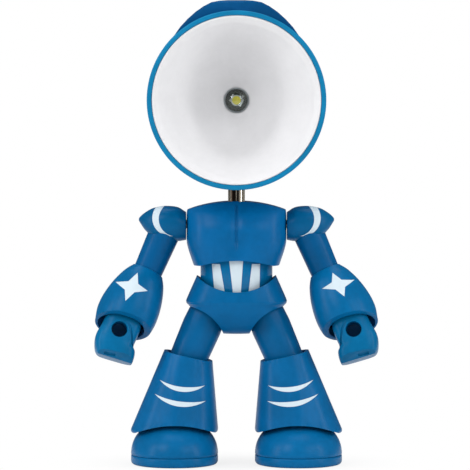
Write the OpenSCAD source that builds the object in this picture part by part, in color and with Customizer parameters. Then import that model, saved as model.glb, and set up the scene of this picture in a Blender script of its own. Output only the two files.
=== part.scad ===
// Robot shaped desk lamp: a battery lamp whose round shade is the head of a jointed robot.
// Millimetres. +Z is up, the robot faces -Y and its right side is -X.
// The origin is on the table, midway between the feet.

/* [Head] */
// Outer radius of the shade's rim
shade_r = 41.6; // [38:0.2:46]
// Thickness of the shade's rim band
rim_t = 2.4; // [1.8:0.1:3]
// Wall of the shade
shade_wall = 1.8; // [1.4:0.1:2.2]
// Depth of the head from the rim to the rear cover
head_depth = 60; // [56:1:64]
// Height of the head's axis over the table
head_z = 170.9; // [169:0.5:180]
// Radius of the opening that the rear cover closes
rear_r = 19; // [17:0.5:22]
// Height of the crest's flat top over the head's axis
crest_h = 46.9; // [45.5:0.1:49]
// Radius of the lens
lens_r = 5.9; // [5:0.1:7]
// Depth of the lens's seat behind the rim
lens_depth = 36; // [33:0.5:38]
// Height of the tilt pin
tilt_z = 134; // [133.5:0.1:135]

/* [Neck] */
// Outer radius of the neck tube
neck_r = 3.95; // [3.6:0.05:4.2]
// Wall of the neck tube
neck_wall = 0.6; // [0.4:0.1:1]
// How far the neck pulls out
neck_lift = 25; // [15:1:25]
// Length of the collar's bearing
collar_l = 8; // [6:0.5:9]
// Radius of the tilt pin
tilt_pin_r = 1.3; // [1:0.1:1.6]
// Width of the hinge knuckle
knuckle_w = 8; // [6:0.5:9]

/* [Torso] */
// Width of the chest at the shoulders
chest_w = 46.8; // [46:0.2:48]
// Depth of the chest at its fullest
chest_d = 39; // [38.4:0.2:42]
// Height of the chest's top over the table
chest_top = 123.6; // [123:0.1:124]
// Height of the chest's lower corners over the table
chest_bottom = 93.6; // [92:0.2:94.4]
// Wall of the body shells
body_wall = 1.8; // [1.4:0.1:2]
// Radius of the abdomen
abdomen_r = 16.9; // [15.5:0.1:17]
// Radius of the shoulder axles
shoulder_r = 2; // [1.5:0.1:2.5]
// Height of the shoulder axis
shoulder_z = 112.8; // [112:0.2:113.6]
// Radius of a button cell
cell_r = 5.8; // [5.4:0.1:5.8]
// Thickness of a button cell
cell_t = 5.4; // [3.6:0.1:5.4]
// Travel of the switch knob
switch_travel = 2.5; // [1.5:0.1:3]

/* [Pelvis] */
// Width of the pelvis at its widest
pelvis_w = 47.2; // [46.6:0.2:49]
// Depth of the pelvis at its widest
pelvis_d = 39.6; // [39:0.2:42]
// Distance from the centre plane to each hip joint
hip_x = 14.3; // [14.1:0.1:14.6]
// Height of the hip joints
hip_z = 69; // [68.5:0.1:69.2]
// Radius of the hip axle
hip_axle_r = 2; // [1.5:0.1:2.4]
// Radius of the thigh's ball
hip_ball_r = 9; // [8.6:0.1:9]

/* [Arms] */
// Tilt of the arms out from upright
arm_tilt = 23.5; // [20:0.5:26]
// Radius of the upper arm at the pauldron
arm_r1 = 7.4; // [6.8:0.1:7.5]
// Radius of the upper arm at the gauntlet
arm_r2 = 6.8; // [6.4:0.1:6.9]
// Length of the upper arm from its root to the gauntlet's mouth
arm_l = 24.2; // [23:0.2:28]
// Forward pitch of the forearm
forearm_pitch = 12; // [8:1:14]
// Largest radius of the gauntlet
gauntlet_r = 14.1; // [13.4:0.1:14.8]
// Length of the gauntlet
gauntlet_l = 33; // [32:0.5:36]
// Width of the fist
fist_w = 20.4; // [19:0.2:21]
// Depth of the fist from front to back
fist_d = 17.6; // [16:0.2:18.4]
// Distance from the elbow to the grip hole
grip_s = 31.8; // [31:0.2:33]
// Radius of the grip hole in the fist
grip_r = 3.75; // [3:0.05:4.2]
// Depth of the grip hole
grip_depth = 12; // [8:0.5:13]
// Radius of the elbow and wrist pegs
peg_r = 3; // [2.4:0.1:3.2]

/* [Legs] */
// Distance from the centre plane to the knee
knee_x = 24.9; // [24.5:0.1:25.3]
// Height of the knee
knee_z = 44.5; // [44:0.1:45]
// Radius of the thigh below its ball
thigh_r = 9.3; // [9:0.1:9.5]
// Radius of the thigh's lower ball
knee_r = 8.6; // [8:0.1:8.8]
// Radius of the knee pin
knee_pin_r = 1.5; // [1.2:0.1:2]
// Width of the shin at its lower edge
shin_w = 40.7; // [39:0.1:41]
// Depth of the shin at its lower edge
shin_d = 40; // [39:0.5:42]
// Distance from the centre plane to the middle of the foot
foot_x = 29.2; // [29:0.1:29.6]
// Width of the foot
foot_w = 41; // [40:0.1:41.4]
// Length of the foot
foot_l = 52; // [48:0.5:56]
// Height of the foot's dome over the table
foot_h = 21.5; // [21:0.1:21.8]
// Thickness of the sole
sole_t = 4.4; // [3.6:0.1:4.6]
// Height of the ankle pin
ankle_z = 25; // [24.6:0.1:26]
// Radius of the ankle pin
ankle_pin_r = 1.4; // [1.2:0.1:1.8]

/* [Fits] */
// Radial running clearance of a shaft in its bore
run_gap = 0.06; // [0.03:0.01:0.09]
// Gap between pieces that move past each other
move_gap = 0.4; // [0.3:0.05:0.5]
// Gap between pieces that are assembled and don't move
seam = 0.05; // [0.03:0.01:0.1]

/* [Hidden] */
$fn = 64;
// Points round a lofted section
LOFT_N = 32;
BIG = 200;
BLUE = [0.02, 0.40, 0.62];
DARK_BLUE = [0.02, 0.31, 0.5];
STEEL = [0.75, 0.76, 0.78];

// ---- Shared geometry ----

// A superellipse: half sizes a and b, exponent n, in the XY plane round the point c.
function oval(a, b, n, c = [0, 0], z = 0) = [for (i = [0:LOFT_N - 1])
    let (t = 360 * (i + 0.5) / LOFT_N, u = cos(t), v = sin(t))
    [c[0] + a * sign(u) * pow(abs(u), 2 / n), c[1] + b * sign(v) * pow(abs(v), 2 / n), z]];

// A closed skin over a list of rings, each a list of LOFT_N points, from the lowest up.
module loft(rings) {
    m = len(rings);
    n = LOFT_N;
    sides = [for (i = [0:m - 2], j = [0:n - 1])
        let (a = i * n + j, b = i * n + (j + 1) % n, c = a + n, d = b + n)
        each [[a, c, d], [a, d, b]]];
    floor_face = [for (j = [0:n - 1]) j];
    roof_face = [for (j = [n - 1:-1:0]) (m - 1) * n + j];
    polyhedron([for (r = rings) each r], concat([floor_face, roof_face], sides));
}

// A tube or a solid rod between two heights.
module rod(r, z0, z1, bore = 0) {
    translate([0, 0, z0]) difference() {
        cylinder(r = r, h = z1 - z0);
        if (bore > 0)
            translate([0, 0, -1]) cylinder(r = bore, h = z1 - z0 + 2);
    }
}

// A rod along X between two places, at the height z and the depth y.
module rod_x(r, x0, x1, z, y = 0) {
    translate([x0, y, z]) rotate([0, 90, 0]) cylinder(r = r, h = x1 - x0);
}

// A rod along Y between two places.
module rod_y(r, y0, y1, x, z) {
    translate([x, y1, z]) rotate([90, 0, 0]) cylinder(r = r, h = y1 - y0);
}

// Everything in front of, or behind, the seam plane at y.
module front_of(y) {
    translate([-BIG / 2, y - BIG, -1]) cube([BIG, BIG, 1.5 * BIG]);
}
module behind(y) {
    translate([-BIG / 2, y, -1]) cube([BIG, BIG, 1.5 * BIG]);
}

// Modelled for the right side; side = -1 is the right, 1 the left.
module on_side(side) {
    if (side < 0) children();
    else mirror([1, 0, 0]) children();
}

// A pan head screw along -Z, the top of its head at the origin.
module screw(head_r, head_h, r, l) {
    translate([0, 0, -head_h]) difference() {
        cylinder(r = head_r, h = head_h);
        translate([0, 0, head_h]) cube([2 * head_r - 1, 0.5, head_h], center = true);
    }
    translate([0, 0, -head_h - l]) cylinder(r = r, h = l + head_h / 4);
}

// ---- Head: drawn round the Z axis with its rim at z = 0, then turned to face -Y ----

head_front = -head_depth / 2;
cover_t = 3;
lug_w = 2.8;
knuckle_r = 3.7;
knuckle_room = knuckle_w / 2 + move_gap;
reflector_wall = 1.4;

// Places something drawn round the Z axis, rim at 0 and rising backwards, as the head.
module head_frame() {
    translate([0, head_front, head_z]) rotate([-90, 0, 0]) children();
}

// Radius of the shade's outside at the depth t behind the rim.
shell_depth = head_depth - cover_t;
function shade_at(t) = rear_r + (shade_r - rear_r) * (1 - pow(t / shell_depth, 1.3));
shade_steps = [for (i = [0:14]) shell_depth * i / 14];

// Radius of the reflector's inside at the depth t behind the rim.
lip_r = shade_r - rim_t;
lip_w = 3.2;
lip_t = 2.2;
hole_r = lens_r + 0.1;
function reflector_at(t) =
    hole_r + (lip_r - lip_w - hole_r) * pow(1 - (t - lip_t) / (lens_depth - lip_t), 0.82);
reflector_steps = [for (i = [0:10]) lip_t + (lens_depth - lip_t) * i / 10];

module shade_shell() {
    color(BLUE) difference() {
        union() {
            head_frame() rotate_extrude() polygon(concat(
                [[lip_r + seam, 0], [shade_r - 0.5, 0], [shade_r, 0.5]],
                [for (t = shade_steps) if (t > 1) [shade_at(t), t]],
                [for (i = [len(shade_steps) - 1:-1:0]) let (t = shade_steps[i])
                    if (t > 3) [shade_at(t) - shade_wall, t]],
                [[lip_r + seam, 3]]));
            for (s = [-1, 1]) intersection() {
                hinge_cheek(s);
                head_frame() rotate_extrude() polygon(concat(
                    [[BIG / 2, 0]],
                    [for (t = shade_steps) [shade_at(t) - shade_wall / 2, t]],
                    [[BIG / 2, shell_depth]]));
            }
        }
        rod_x(tilt_pin_r, -BIG / 2, BIG / 2, tilt_z);
        // The room for the hinge knuckle and its neck.
        rod_x(knuckle_r + move_gap, -knuckle_room, knuckle_room, tilt_z);
    }
}

// One of the two cheeks under the shade that hold the tilt pin.
module hinge_cheek(s) {
    translate([s > 0 ? knuckle_room : -knuckle_room - lug_w, 0, tilt_z]) rotate([90, 0, 90])
        linear_extrude(lug_w) union() {
            circle(r = knuckle_r);
            polygon([[-knuckle_r, 0], [knuckle_r, 0], [knuckle_r + 3, 14], [-knuckle_r - 3, 14]]);
        }
}

module head_crest() {
    half_top = shade_r * sqrt(2) - crest_h;
    color(DARK_BLUE) intersection() {
        difference() {
            translate([0, head_front + 50, head_z]) rotate([90, 0, 0]) linear_extrude(44)
                polygon([[-29, 0.7 * shade_r], [-half_top, crest_h], [half_top, crest_h],
                    [29, 0.7 * shade_r], [0, 12]]);
            head_frame() rotate_extrude() polygon(concat(
                [[0, -1], [shade_r + seam, -1]],
                [for (t = shade_steps) [shade_at(t) + seam, t]],
                [[0, shell_depth]]));
        }
        // The crest's own outline in side view, falling away to the back.
        translate([-BIG / 2, head_front, head_z]) rotate([90, 0, 90]) linear_extrude(BIG)
            polygon([[6, 0], [6, crest_h - 1], [8, crest_h], [30, crest_h - 2], [50, 30], [50, 0]]);
        head_frame() rotate_extrude() polygon([[0, 0], [crest_h + 2, 0], [crest_h + 2, 30],
            [34, 50], [0, 50]]);
    }
}

module reflector() {
    color("white") head_frame() rotate_extrude() polygon(concat(
        [[lip_r, 0.4], [lip_r, 1.6]],
        [for (t = reflector_steps) [reflector_at(t) + reflector_wall, t + 0.6]],
        [[hole_r, lens_depth + 0.6], [hole_r, lens_depth]],
        [for (i = [len(reflector_steps) - 1:-1:0]) let (t = reflector_steps[i])
            if (t < lens_depth - 0.5) [reflector_at(t), t]],
        [[lip_r - 0.8, 0.4]]));
}

board_r = 9;
board_t = 1.6;
board_depth = lens_depth + 2.4;

module led_board() {
    color([0.12, 0.16, 0.1]) head_frame() rod(board_r, board_depth, board_depth + board_t);
}

emitter_r = 2.1;

module led_emitter() {
    color("gold") head_frame() {
        translate([0, 0, board_depth - 0.5]) rotate(28) cube([6, 3.6, 1], center = true);
        rod(emitter_r, board_depth - 1.4, board_depth - 1);
    }
}

module led_lens() {
    dome = 3.2;
    color([0.9, 0.95, 1, 0.3]) head_frame() intersection() {
        translate([0, 0, lens_depth - dome + lens_r * 1.5]) difference() {
            sphere(r = lens_r * 1.5);
            sphere(r = lens_r * 1.5 - 0.9);
        }
        rod(lens_r, lens_depth - 10, lens_depth + 0.6);
    }
}

module lens_retainer() {
    color("white") head_frame() {
        rod(board_r + 1.2, lens_depth + 0.6 + seam, board_depth - seam, lens_r - 0.7);
        rod(board_r + 1.2, lens_depth + 0.6 + seam, board_depth + board_t, board_r + seam);
    }
}

boss_ring_r = rear_r - 5;

module head_rear_cover() {
    color(DARK_BLUE) difference() {
        head_frame() {
            rotate_extrude() polygon([[0, shell_depth + seam], [rear_r, shell_depth + seam],
                [rear_r, head_depth - 1.2], [rear_r - 1.2, head_depth], [0, head_depth]]);
            rod(rear_r - shade_wall - seam, shell_depth - 3, shell_depth + 1, rear_r - 4);
            for (a = [90, 210, 330]) rotate(a) translate([boss_ring_r - 4.5, 0, 0])
                rod(2.4, board_depth + board_t + seam, shell_depth + 1);
        }
        head_frame() for (a = [90, 210, 330]) rotate(a) translate([boss_ring_r - 4.5, 0, 0]) {
            rod(1.1, board_depth, head_depth + 1);
            rod(2.2, head_depth - 1.6, head_depth + 1);
        }
    }
}

module head_screws() {
    color(STEEL) head_frame() for (a = [90, 210, 330])
        rotate(a) translate([boss_ring_r - 4.5, 0, head_depth - 0.2])
            screw(2, 1.3, 1, shell_depth - board_depth - board_t - 1);
}

module tilt_pin() {
    l = knuckle_w / 2 + move_gap + lug_w;
    color(STEEL) {
        rod_x(tilt_pin_r, -l, l, tilt_z);
        for (s = [-1, 1]) rod_x(tilt_pin_r + 0.9, s > 0 ? l : -l - 0.8, s > 0 ? l + 0.8 : -l, tilt_z);
    }
}

// ---- Neck ----

tube_top = tilt_z - 4;
collar_top = chest_top - 2.4;
collar_bottom = collar_top - collar_l;
collar_r = neck_r + 2.2;
flange_t = 1.3;
clip_t = 1;
stop_h = 2;
stop_r = neck_r + 1.3;
tube_bottom = collar_bottom - 0.2 - neck_lift - stop_h;
spigot_l = 6;
wire_r = 0.8;

module neck_knuckle() {
    color("silver") difference() {
        union() {
            rod_x(knuckle_r, -knuckle_w / 2, knuckle_w / 2, tilt_z);
            rod(neck_r, tube_top + seam, tilt_z);
            rod(neck_r - neck_wall - seam, tube_top - spigot_l, tilt_z);
        }
        rod_x(tilt_pin_r + run_gap, -knuckle_w, knuckle_w, tilt_z);
    }
}

module neck_tube() {
    color("silver") rod(neck_r, tube_bottom, tube_top, neck_r - neck_wall);
}

module neck_wires() {
    x = neck_r - neck_wall - wire_r - 0.1;
    color("red") translate([x, 0, 0]) rod(wire_r, tube_bottom + 1, tube_top - spigot_l - 0.3);
    color("black") translate([-x, 0, 0]) rod(wire_r, tube_bottom + 1, tube_top - spigot_l - 0.3);
}

module neck_stop_ring() {
    color(STEEL) rod(stop_r, tube_bottom, tube_bottom + stop_h, neck_r + seam);
}

module neck_collar() {
    groove = collar_r - 0.5;
    color("dimgray") difference() {
        union() {
            rod(collar_r, collar_bottom, collar_top);
            rod(collar_r + 1.4, collar_top - flange_t, collar_top);
        }
        rod(neck_r + run_gap, 0, BIG);
        rod(BIG, collar_bottom + 1, collar_bottom + 1 + clip_t + 0.1, groove);
    }
}

module collar_clip() {
    color(STEEL) rod(collar_r + 1.6, collar_bottom + 1.05, collar_bottom + 1.05 + clip_t,
        collar_r - 0.45);
}

// ---- Torso ----

shoulder_x = chest_w / 2;
top_arc_r = 69;
chest_arch_r = 57;
chest_arch_h = 2.6;
lip_z = chest_bottom + 3.1;
lip_h = 1.9;
cavity_z = lip_z + lip_h;
abdomen_bottom = hip_z + hip_ball_r + move_gap;
abdomen_floor = 1.8;
groove_r = abdomen_r - 1.5;
boss_x = shoulder_x - 3.7;
axle_flange_t = 1.3;

// The chest's outside, or its inside when inset by a wall.
module chest_form(inset = 0) {
    w = chest_w / 2 - inset;
    d = chest_d / 2 - inset;
    intersection() {
        loft([oval(w - 3.3, d - 0.6, 2.6, [0, 0], chest_bottom),
            oval(w - 1.1, d - 0.2, 2.8, [0, 0], chest_bottom + 6.4),
            oval(w, d, 3, [0, 0], chest_bottom + 10.4),
            oval(w, d - 0.3, 3, [0, 0], chest_top - 11.6),
            oval(w, d - 3, 3, [0, 0], chest_top - 5.6),
            oval(w - 0.8, d - 5.5, 2.8, [0, 0], chest_top - 2.6),
            oval(w - 2.4, d - 8.5, 2.6, [0, 0], chest_top + 0.5)]);
        rod_y(top_arc_r - inset, -BIG / 2, BIG / 2, 0, chest_top - top_arc_r);
    }
}

shell_screws = [[15, chest_top - 6.4], [-15, chest_top - 6.4],
    [17, chest_bottom + 9.4], [-17, chest_bottom + 9.4]];
post_r = 2.4;
screw_r = 1;
screw_head_r = 2;
screw_recess = 6.5;
cell_z = chest_bottom + 10.8;
cell_y = stop_r + 0.75 + cell_r;
bay_x = 1.5 * cell_t + 2.1;
bay_h = cell_r + 0.2;
bay_wall = 1.2;
door_y = cell_y + cell_r + 0.15;
door_x = bay_x + 1.6;
door_screw_z = cell_z + bay_h + 3.2;
door_tab = 3.6;
board_y = -stop_r - 2.2;
board_z = cavity_z + 0.6;
board_l = 13.6;

// The whole chest before it is parted: walls, lip, bosses, posts.
module chest_body() {
    difference() {
        union() {
            difference() {
                chest_form();
                intersection() {
                    chest_form(body_wall);
                    rod(BIG, cavity_z, BIG);
                }
            }
            intersection() {
                chest_form(body_wall / 2);
                union() {
                    rod(collar_r + 3.6, collar_bottom + 1.4 + clip_t, chest_top);
                    for (s = [-1, 1])
                        rod_x(shoulder_r + 2.4, s > 0 ? boss_x : -shoulder_x,
                            s > 0 ? shoulder_x : -boss_x, shoulder_z);
                    for (p = shell_screws) rod_y(post_r, -chest_d / 2, chest_d / 2, p[0], p[1]);
                }
            }
        }
        // The neck's hole and the collar's bearing.
        rod(neck_r + move_gap, cavity_z, BIG);
        rod(collar_r + run_gap, cavity_z, collar_top - flange_t);
        rod(collar_r + 1.8, collar_top - flange_t - 0.3, collar_top + 0.2);
        // The abdomen's seat, its lip and the arched lower edge.
        rod(abdomen_r + seam, chest_bottom - 1, lip_z);
        rod(groove_r + seam, chest_bottom - 1, cavity_z + 1);
        rod_y(chest_arch_r, -BIG / 2, BIG / 2, 0, chest_bottom + chest_arch_h - chest_arch_r);
        rod_x(shoulder_r + run_gap, -BIG / 2, BIG / 2, shoulder_z);
    }
}

module chest_front_shell() {
    color(BLUE) difference() {
        union() {
            intersection() {
                chest_body();
                front_of(-seam / 2);
            }
            // Two pegs that carry the circuit board.
            for (s = [-1, 1])
                rod_y(1.6, 1 - chest_d / 2, board_y - seam, 8 * s, board_z + board_l / 2);
        }
        for (p = shell_screws) rod_y(screw_r + seam, -9, 1, p[0], p[1]);
        // The groove between the pectorals.
        translate([0, -chest_d / 2 - 0.9, chest_bottom + 8]) rotate([0, 0, 45])
            cube([1.9, 1.9, BIG / 4]);
    }
}

module chest_rear_shell() {
    color(BLUE) difference() {
        union() {
            intersection() {
                chest_body();
                behind(seam / 2);
            }
            intersection() {
                chest_form(body_wall / 2);
                difference() {
                    union() {
                        translate([-bay_x - bay_wall, cell_y - 2.5, cell_z - bay_h - bay_wall])
                            cube([2 * (bay_x + bay_wall), BIG, 2 * (bay_h + bay_wall)]);
                        rod_y(post_r, cell_y - 1, BIG, 0, door_screw_z);
                    }
                    translate([-bay_x, 0, cell_z - bay_h]) cube([2 * bay_x, BIG, 2 * bay_h]);
                }
            }
        }
        door_space(0.1);
        translate([-bay_x, 0, cell_z - bay_h]) cube([2 * bay_x, door_y, 2 * bay_h]);
        rod_y(screw_r + seam, cell_y, BIG, 0, door_screw_z);
        for (p = shell_screws) {
            rod_y(screw_r + 0.1, -1, BIG, p[0], p[1]);
            rod_y(screw_head_r + 0.2, chest_d / 2 - screw_recess, BIG, p[0], p[1]);
        }
    }
}

// The space that the battery door fills, grown by a clearance.
module door_space(gap) {
    translate([-door_x - gap, door_y - gap, cell_z - bay_h - 0.8 - gap])
        cube([2 * (door_x + gap), BIG, 2 * (bay_h + 0.8 + gap)]);
    translate([-door_tab - gap, door_y - gap, cell_z])
        cube([2 * (door_tab + gap), BIG, door_screw_z - cell_z + door_tab + gap]);
}

module chest_screws() {
    color(STEEL) for (p = shell_screws)
        translate([p[0], chest_d / 2 - screw_recess + 1.3, p[1]]) rotate([-90, 0, 0])
            screw(screw_head_r, 1.3, screw_r, chest_d / 2 - screw_recess + 7);
}

module battery_door() {
    color(BLUE) difference() {
        intersection() {
            chest_form();
            door_space(0);
        }
        rod_y(screw_r + 0.1, 0, BIG, 0, door_screw_z);
        rod_y(screw_head_r + 0.1, door_y + 0.6, BIG, 0, door_screw_z);
    }
}

module battery_door_screw() {
    color(STEEL) translate([0, door_y + 1.5, door_screw_z]) rotate([-90, 0, 0])
        screw(screw_head_r, 0.9 - seam, screw_r, 5);
}

module battery_cells() {
    color("silver") for (i = [-1:1]) translate([i * cell_t, cell_y, cell_z])
        rotate([0, 90, 0]) translate([0, 0, -cell_t / 2]) {
            cylinder(r = cell_r - 0.1, h = cell_t - 0.4);
            cylinder(r = cell_r - 1.4, h = cell_t - seam);
        }
}

module battery_contacts() {
    color("gold") for (s = [-1, 1])
        translate([s * (1.5 * cell_t + 0.9), cell_y, cell_z]) rotate([0, 90, 0]) {
            translate([0, 0, -0.2]) linear_extrude(0.4) square([9, 7], center = true);
            translate([0, 0, s > 0 ? -0.8 : 0.1]) cylinder(r = 2, h = 0.7);
        }
}

module circuit_board() {
    color("darkgreen") translate([-11, board_y, board_z]) cube([22, 1.2, board_l]);
    color("dimgray") translate([-2.4, board_y + 1.2, board_z + 2]) cube([4.8, 0.9, 4]);
}

// ---- Abdomen, switch and waist ----

switch_z = lip_z - 7.6;
switch_w = 10;
switch_h = 4.6;
knob_w = 3.4;
knob_h = 2.4;
switch_back = abdomen_r - body_wall - 0.9;
switch_front = switch_back - 4.6;
waist_r = 3;
waist_flange_r = 5.5;
waist_top = abdomen_bottom + abdomen_floor + 0.2;

module abdomen_shell() {
    color(BLUE) difference() {
        union() {
            rod(abdomen_r, abdomen_bottom, lip_z - seam);
            rod(groove_r, abdomen_bottom, cavity_z + 1.5);
            rod(abdomen_r - 0.4, cavity_z + seam, cavity_z + 1.5);
        }
        rod(abdomen_r - body_wall - 0.6, abdomen_bottom + abdomen_floor, BIG);
        rod(waist_r + run_gap, 0, BIG);
        // The notch that clears the battery bay, and the slot of the switch knob.
        translate([-bay_x - bay_wall - 0.3, cell_y - 2.8, cell_z - bay_h - bay_wall - 0.3])
            cube([2 * (bay_x + bay_wall + 0.3), BIG, BIG]);
        translate([-(knob_w + switch_travel) / 2 - 0.3, 0, switch_z - knob_h / 2 - 0.3])
            cube([knob_w + switch_travel + 0.6, BIG, knob_h + 0.6]);
    }
}

module switch_body() {
    color("black") difference() {
        union() {
            translate([-switch_w / 2, switch_front, switch_z - switch_h / 2])
                cube([switch_w, switch_back - switch_front - 1, switch_h]);
            for (s = [-1, 1]) translate([s * (switch_w / 2 + 1) - 1, switch_front + 1.2,
                switch_z - switch_h / 2]) cube([2, 1, switch_h]);
        }
        translate([-(knob_w + switch_travel) / 2 - 0.3, switch_back - 2.6,
            switch_z - knob_h / 2 - 0.3]) cube([knob_w + switch_travel + 0.6, 9, knob_h + 0.6]);
    }
}

// Drawn at the end of its travel where the lamp is off.
module switch_knob() {
    color("dimgray") translate([-(knob_w + switch_travel) / 2, switch_back - 2.3,
        switch_z - knob_h / 2]) cube([knob_w, abdomen_r + 1.4 - switch_back + 2.3, knob_h]);
}

module waist_pivot() {
    color(STEEL) difference() {
        union() {
            rod(waist_r, pivot_foot, waist_top + 2.2);
            rod(waist_flange_r, boss_top, abdomen_bottom - 0.1);
        }
        rod(BIG, waist_top + 0.1, waist_top + 0.2 + clip_t, waist_r - 0.5);
    }
}

module waist_clip() {
    color(STEEL) rod(waist_flange_r, waist_top + 0.15, waist_top + 0.15 + clip_t,
        waist_r - 0.45);
}

// ---- Pelvis ----

boss_top = abdomen_bottom - 0.8;
boss_t = 2.4;
pivot_foot = boss_top - boss_t;
web_w = 5.2;
rim_arc_r = 25.2;
rim_low = hip_z + 11.6;
pelvis_top = rim_low + 8;
leg_cut_r = 20.1;
leg_cut_x = hip_x + 10.6;
leg_cut_z = hip_z - 14.5;
pelvis_screw_z = [hip_z - 4.6, hip_z + 4.6];

module pelvis_form(inset = 0) {
    w = pelvis_w / 2 - inset;
    d = pelvis_d / 2 - inset;
    loft([oval(w - 15, d - 11, 2.4, [0, 0], hip_z - 7.4 + inset),
        oval(w - 9.5, d - 8.4, 2.4, [0, 0], hip_z - 6.2 + inset / 2),
        oval(w - 4.6, d - 4.8, 2.5, [0, 0], hip_z - 2.5),
        oval(w - 2.1, d - 2, 2.5, [0, 0], hip_z + 2),
        oval(w - 1.4, d - 0.8, 2.5, [0, 0], hip_z + 5.4),
        oval(w, d, 2.5, [0, 0], hip_z + 7.3),
        oval(w - 5, d - 1, 2.1, [0, 0], pelvis_top)]);
}

// The room that a thigh sweeps as it swings on the hip axle.
module thigh_sweep() {
    near = 3.5;
    far = hip_x + 5.7;
    reach = 11;
    translate([0, 0, hip_z]) rotate([0, -90, 0]) rotate_extrude()
        polygon([[0, near], [reach, near + reach * tan(leg_tilt)], [reach, far], [0, far]]);
    translate([-hip_x, 0, hip_z]) sphere(r = hip_ball_r + move_gap);
}

module pelvis_body() {
    difference() {
        union() {
            difference() {
                pelvis_form();
                pelvis_form(body_wall);
                for (s = [-1, 1]) on_side(s) thigh_sweep();
            }
            intersection() {
                pelvis_form(body_wall / 2);
                union() {
                    translate([-web_w / 2, -BIG / 2, 0]) cube([web_w, BIG, boss_top]);
                    rod(waist_flange_r + 0.5, boss_top - boss_t, boss_top);
                }
            }
        }
        rod(abdomen_r + move_gap, boss_top, BIG);
        rod(waist_r + seam, pivot_foot, BIG);
        rod_y(rim_arc_r, -BIG / 2, BIG / 2, 0, rim_low + rim_arc_r);
        for (s = [-1, 1]) on_side(s)
            rod_y(leg_cut_r, -BIG / 2, BIG / 2, -leg_cut_x, leg_cut_z);
        rod_x(hip_axle_r + seam, -BIG / 2, BIG / 2, hip_z);
        for (z = pelvis_screw_z) rod_y(screw_r + 0.1, -8, BIG, 0, z);
    }
}

module pelvis_front_shell() {
    color(BLUE) intersection() {
        pelvis_body();
        front_of(-seam / 2);
    }
}

pelvis_screw_y = [pelvis_d / 2 - 8.4, pelvis_d / 2 - 3.6];

module pelvis_rear_shell() {
    color(BLUE) difference() {
        intersection() {
            pelvis_body();
            behind(seam / 2);
        }
        for (i = [0, 1])
            rod_y(screw_head_r + 0.2, pelvis_screw_y[i] - 1.3, BIG, 0, pelvis_screw_z[i]);
    }
}

module pelvis_screws() {
    color(STEEL) for (i = [0, 1])
        translate([0, pelvis_screw_y[i] - 0.05, pelvis_screw_z[i]]) rotate([-90, 0, 0])
            screw(screw_head_r, 1.2, screw_r, pelvis_screw_y[i] + 5);
}

axle_reach = hip_x + 4.7;

module hip_axle() {
    color(STEEL) rod_x(hip_axle_r, -axle_reach, axle_reach, hip_z);
}

// ---- Arms: drawn for the right side ----

arm_root_x = shoulder_x + 8.6;
socket_depth = 3;
elbow_plug = 2.6;
elbow_peg_l = 9.4;
bulkhead_top = 3.1;
bulkhead_t = 3.6;
wrist_top = 14.5;
wrist_t = 3.5;
lip_slant = 20;
lip_roll = 12;
lip_rise = 2.1;

// The arm's frame: its origin at the arm's root, with the arm running down -Z.
module arm_frame(side) {
    on_side(side) translate([-arm_root_x, 0, shoulder_z]) rotate([0, arm_tilt, 0]) children();
}

// The forearm's frame: its origin at the gauntlet's mouth, with the forearm running down -Z.
module forearm_frame(side) {
    arm_frame(side) translate([0, 0, -arm_l]) rotate([-forearm_pitch, 0, 0]) rotate([0, 2.5, 0])
        children();
}

module pauldron(side) {
    // Distance from the chest, and the section's centre height, half height and half depth.
    stations = [[0, -0.9, 6.7, 8.4], [4.3, 0, 8.05, 9.4], [10.3, 0.8, 7.7, 9.2],
        [15.6, 0.7, 6.8, 7.6], [19.3, 1.3, 4.1, 4.8], [22.2, 2.1, 0.7, 0.9]];
    color(BLUE) difference() {
        on_side(side) translate([-shoulder_x - 0.3, 0, shoulder_z]) rotate([0, -90, 0])
            loft([for (p = stations) oval(p[2], p[3], 2.3, [p[1], 0], p[0])]);
        on_side(side) rod_x(shoulder_r + seam, -arm_root_x + 1.4, 0, shoulder_z);
        arm_frame(side) translate([0, 0, -socket_depth - 15]) cylinder(r = arm_r1 + seam, h = 15);
    }
}

module shoulder_axle(side) {
    color(STEEL) on_side(side) {
        rod_x(shoulder_r, -arm_root_x + 1.6, -boss_x + 0.4 + axle_flange_t, shoulder_z);
        rod_x(shoulder_r + 1.6, -boss_x + 0.4, -boss_x + 0.4 + axle_flange_t, shoulder_z);
    }
}

module upper_arm(side) {
    color(BLUE) arm_frame(side) difference() {
        union() {
            translate([0, 0, -arm_l])
                cylinder(r1 = arm_r2, r2 = arm_r1, h = arm_l - socket_depth - seam);
            rod(arm_r2, -arm_l - elbow_plug, -arm_l + 0.1);
            rod(peg_r, -arm_l - elbow_peg_l, -arm_l);
        }
        rod(BIG, -arm_l - bulkhead_top - bulkhead_t - 0.2 - clip_t,
            -arm_l - bulkhead_top - bulkhead_t - 0.1, peg_r - 0.6);
    }
}

module elbow_clip(side) {
    z = -arm_l - bulkhead_top - bulkhead_t - 0.15 - clip_t;
    color(STEEL) arm_frame(side) rod(peg_r + 2, z, z + clip_t, peg_r - 0.55);
}

// Radius of the gauntlet against the distance from its mouth.
gauntlet_outline = [[7.5, 0], [8.9, 2.2], [10.3, 4.9], [12.2, 9.8], [13.4, 15],
    [gauntlet_r, 20], [gauntlet_r, 23.5], [gauntlet_r - 0.5, 26.3], [gauntlet_r - 1.2, 28.6],
    [gauntlet_r - 2, 31], [gauntlet_r - 2.4, 33.6], [gauntlet_r - 2.8, 36.5]];
gauntlet_wall = 1.1;

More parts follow.
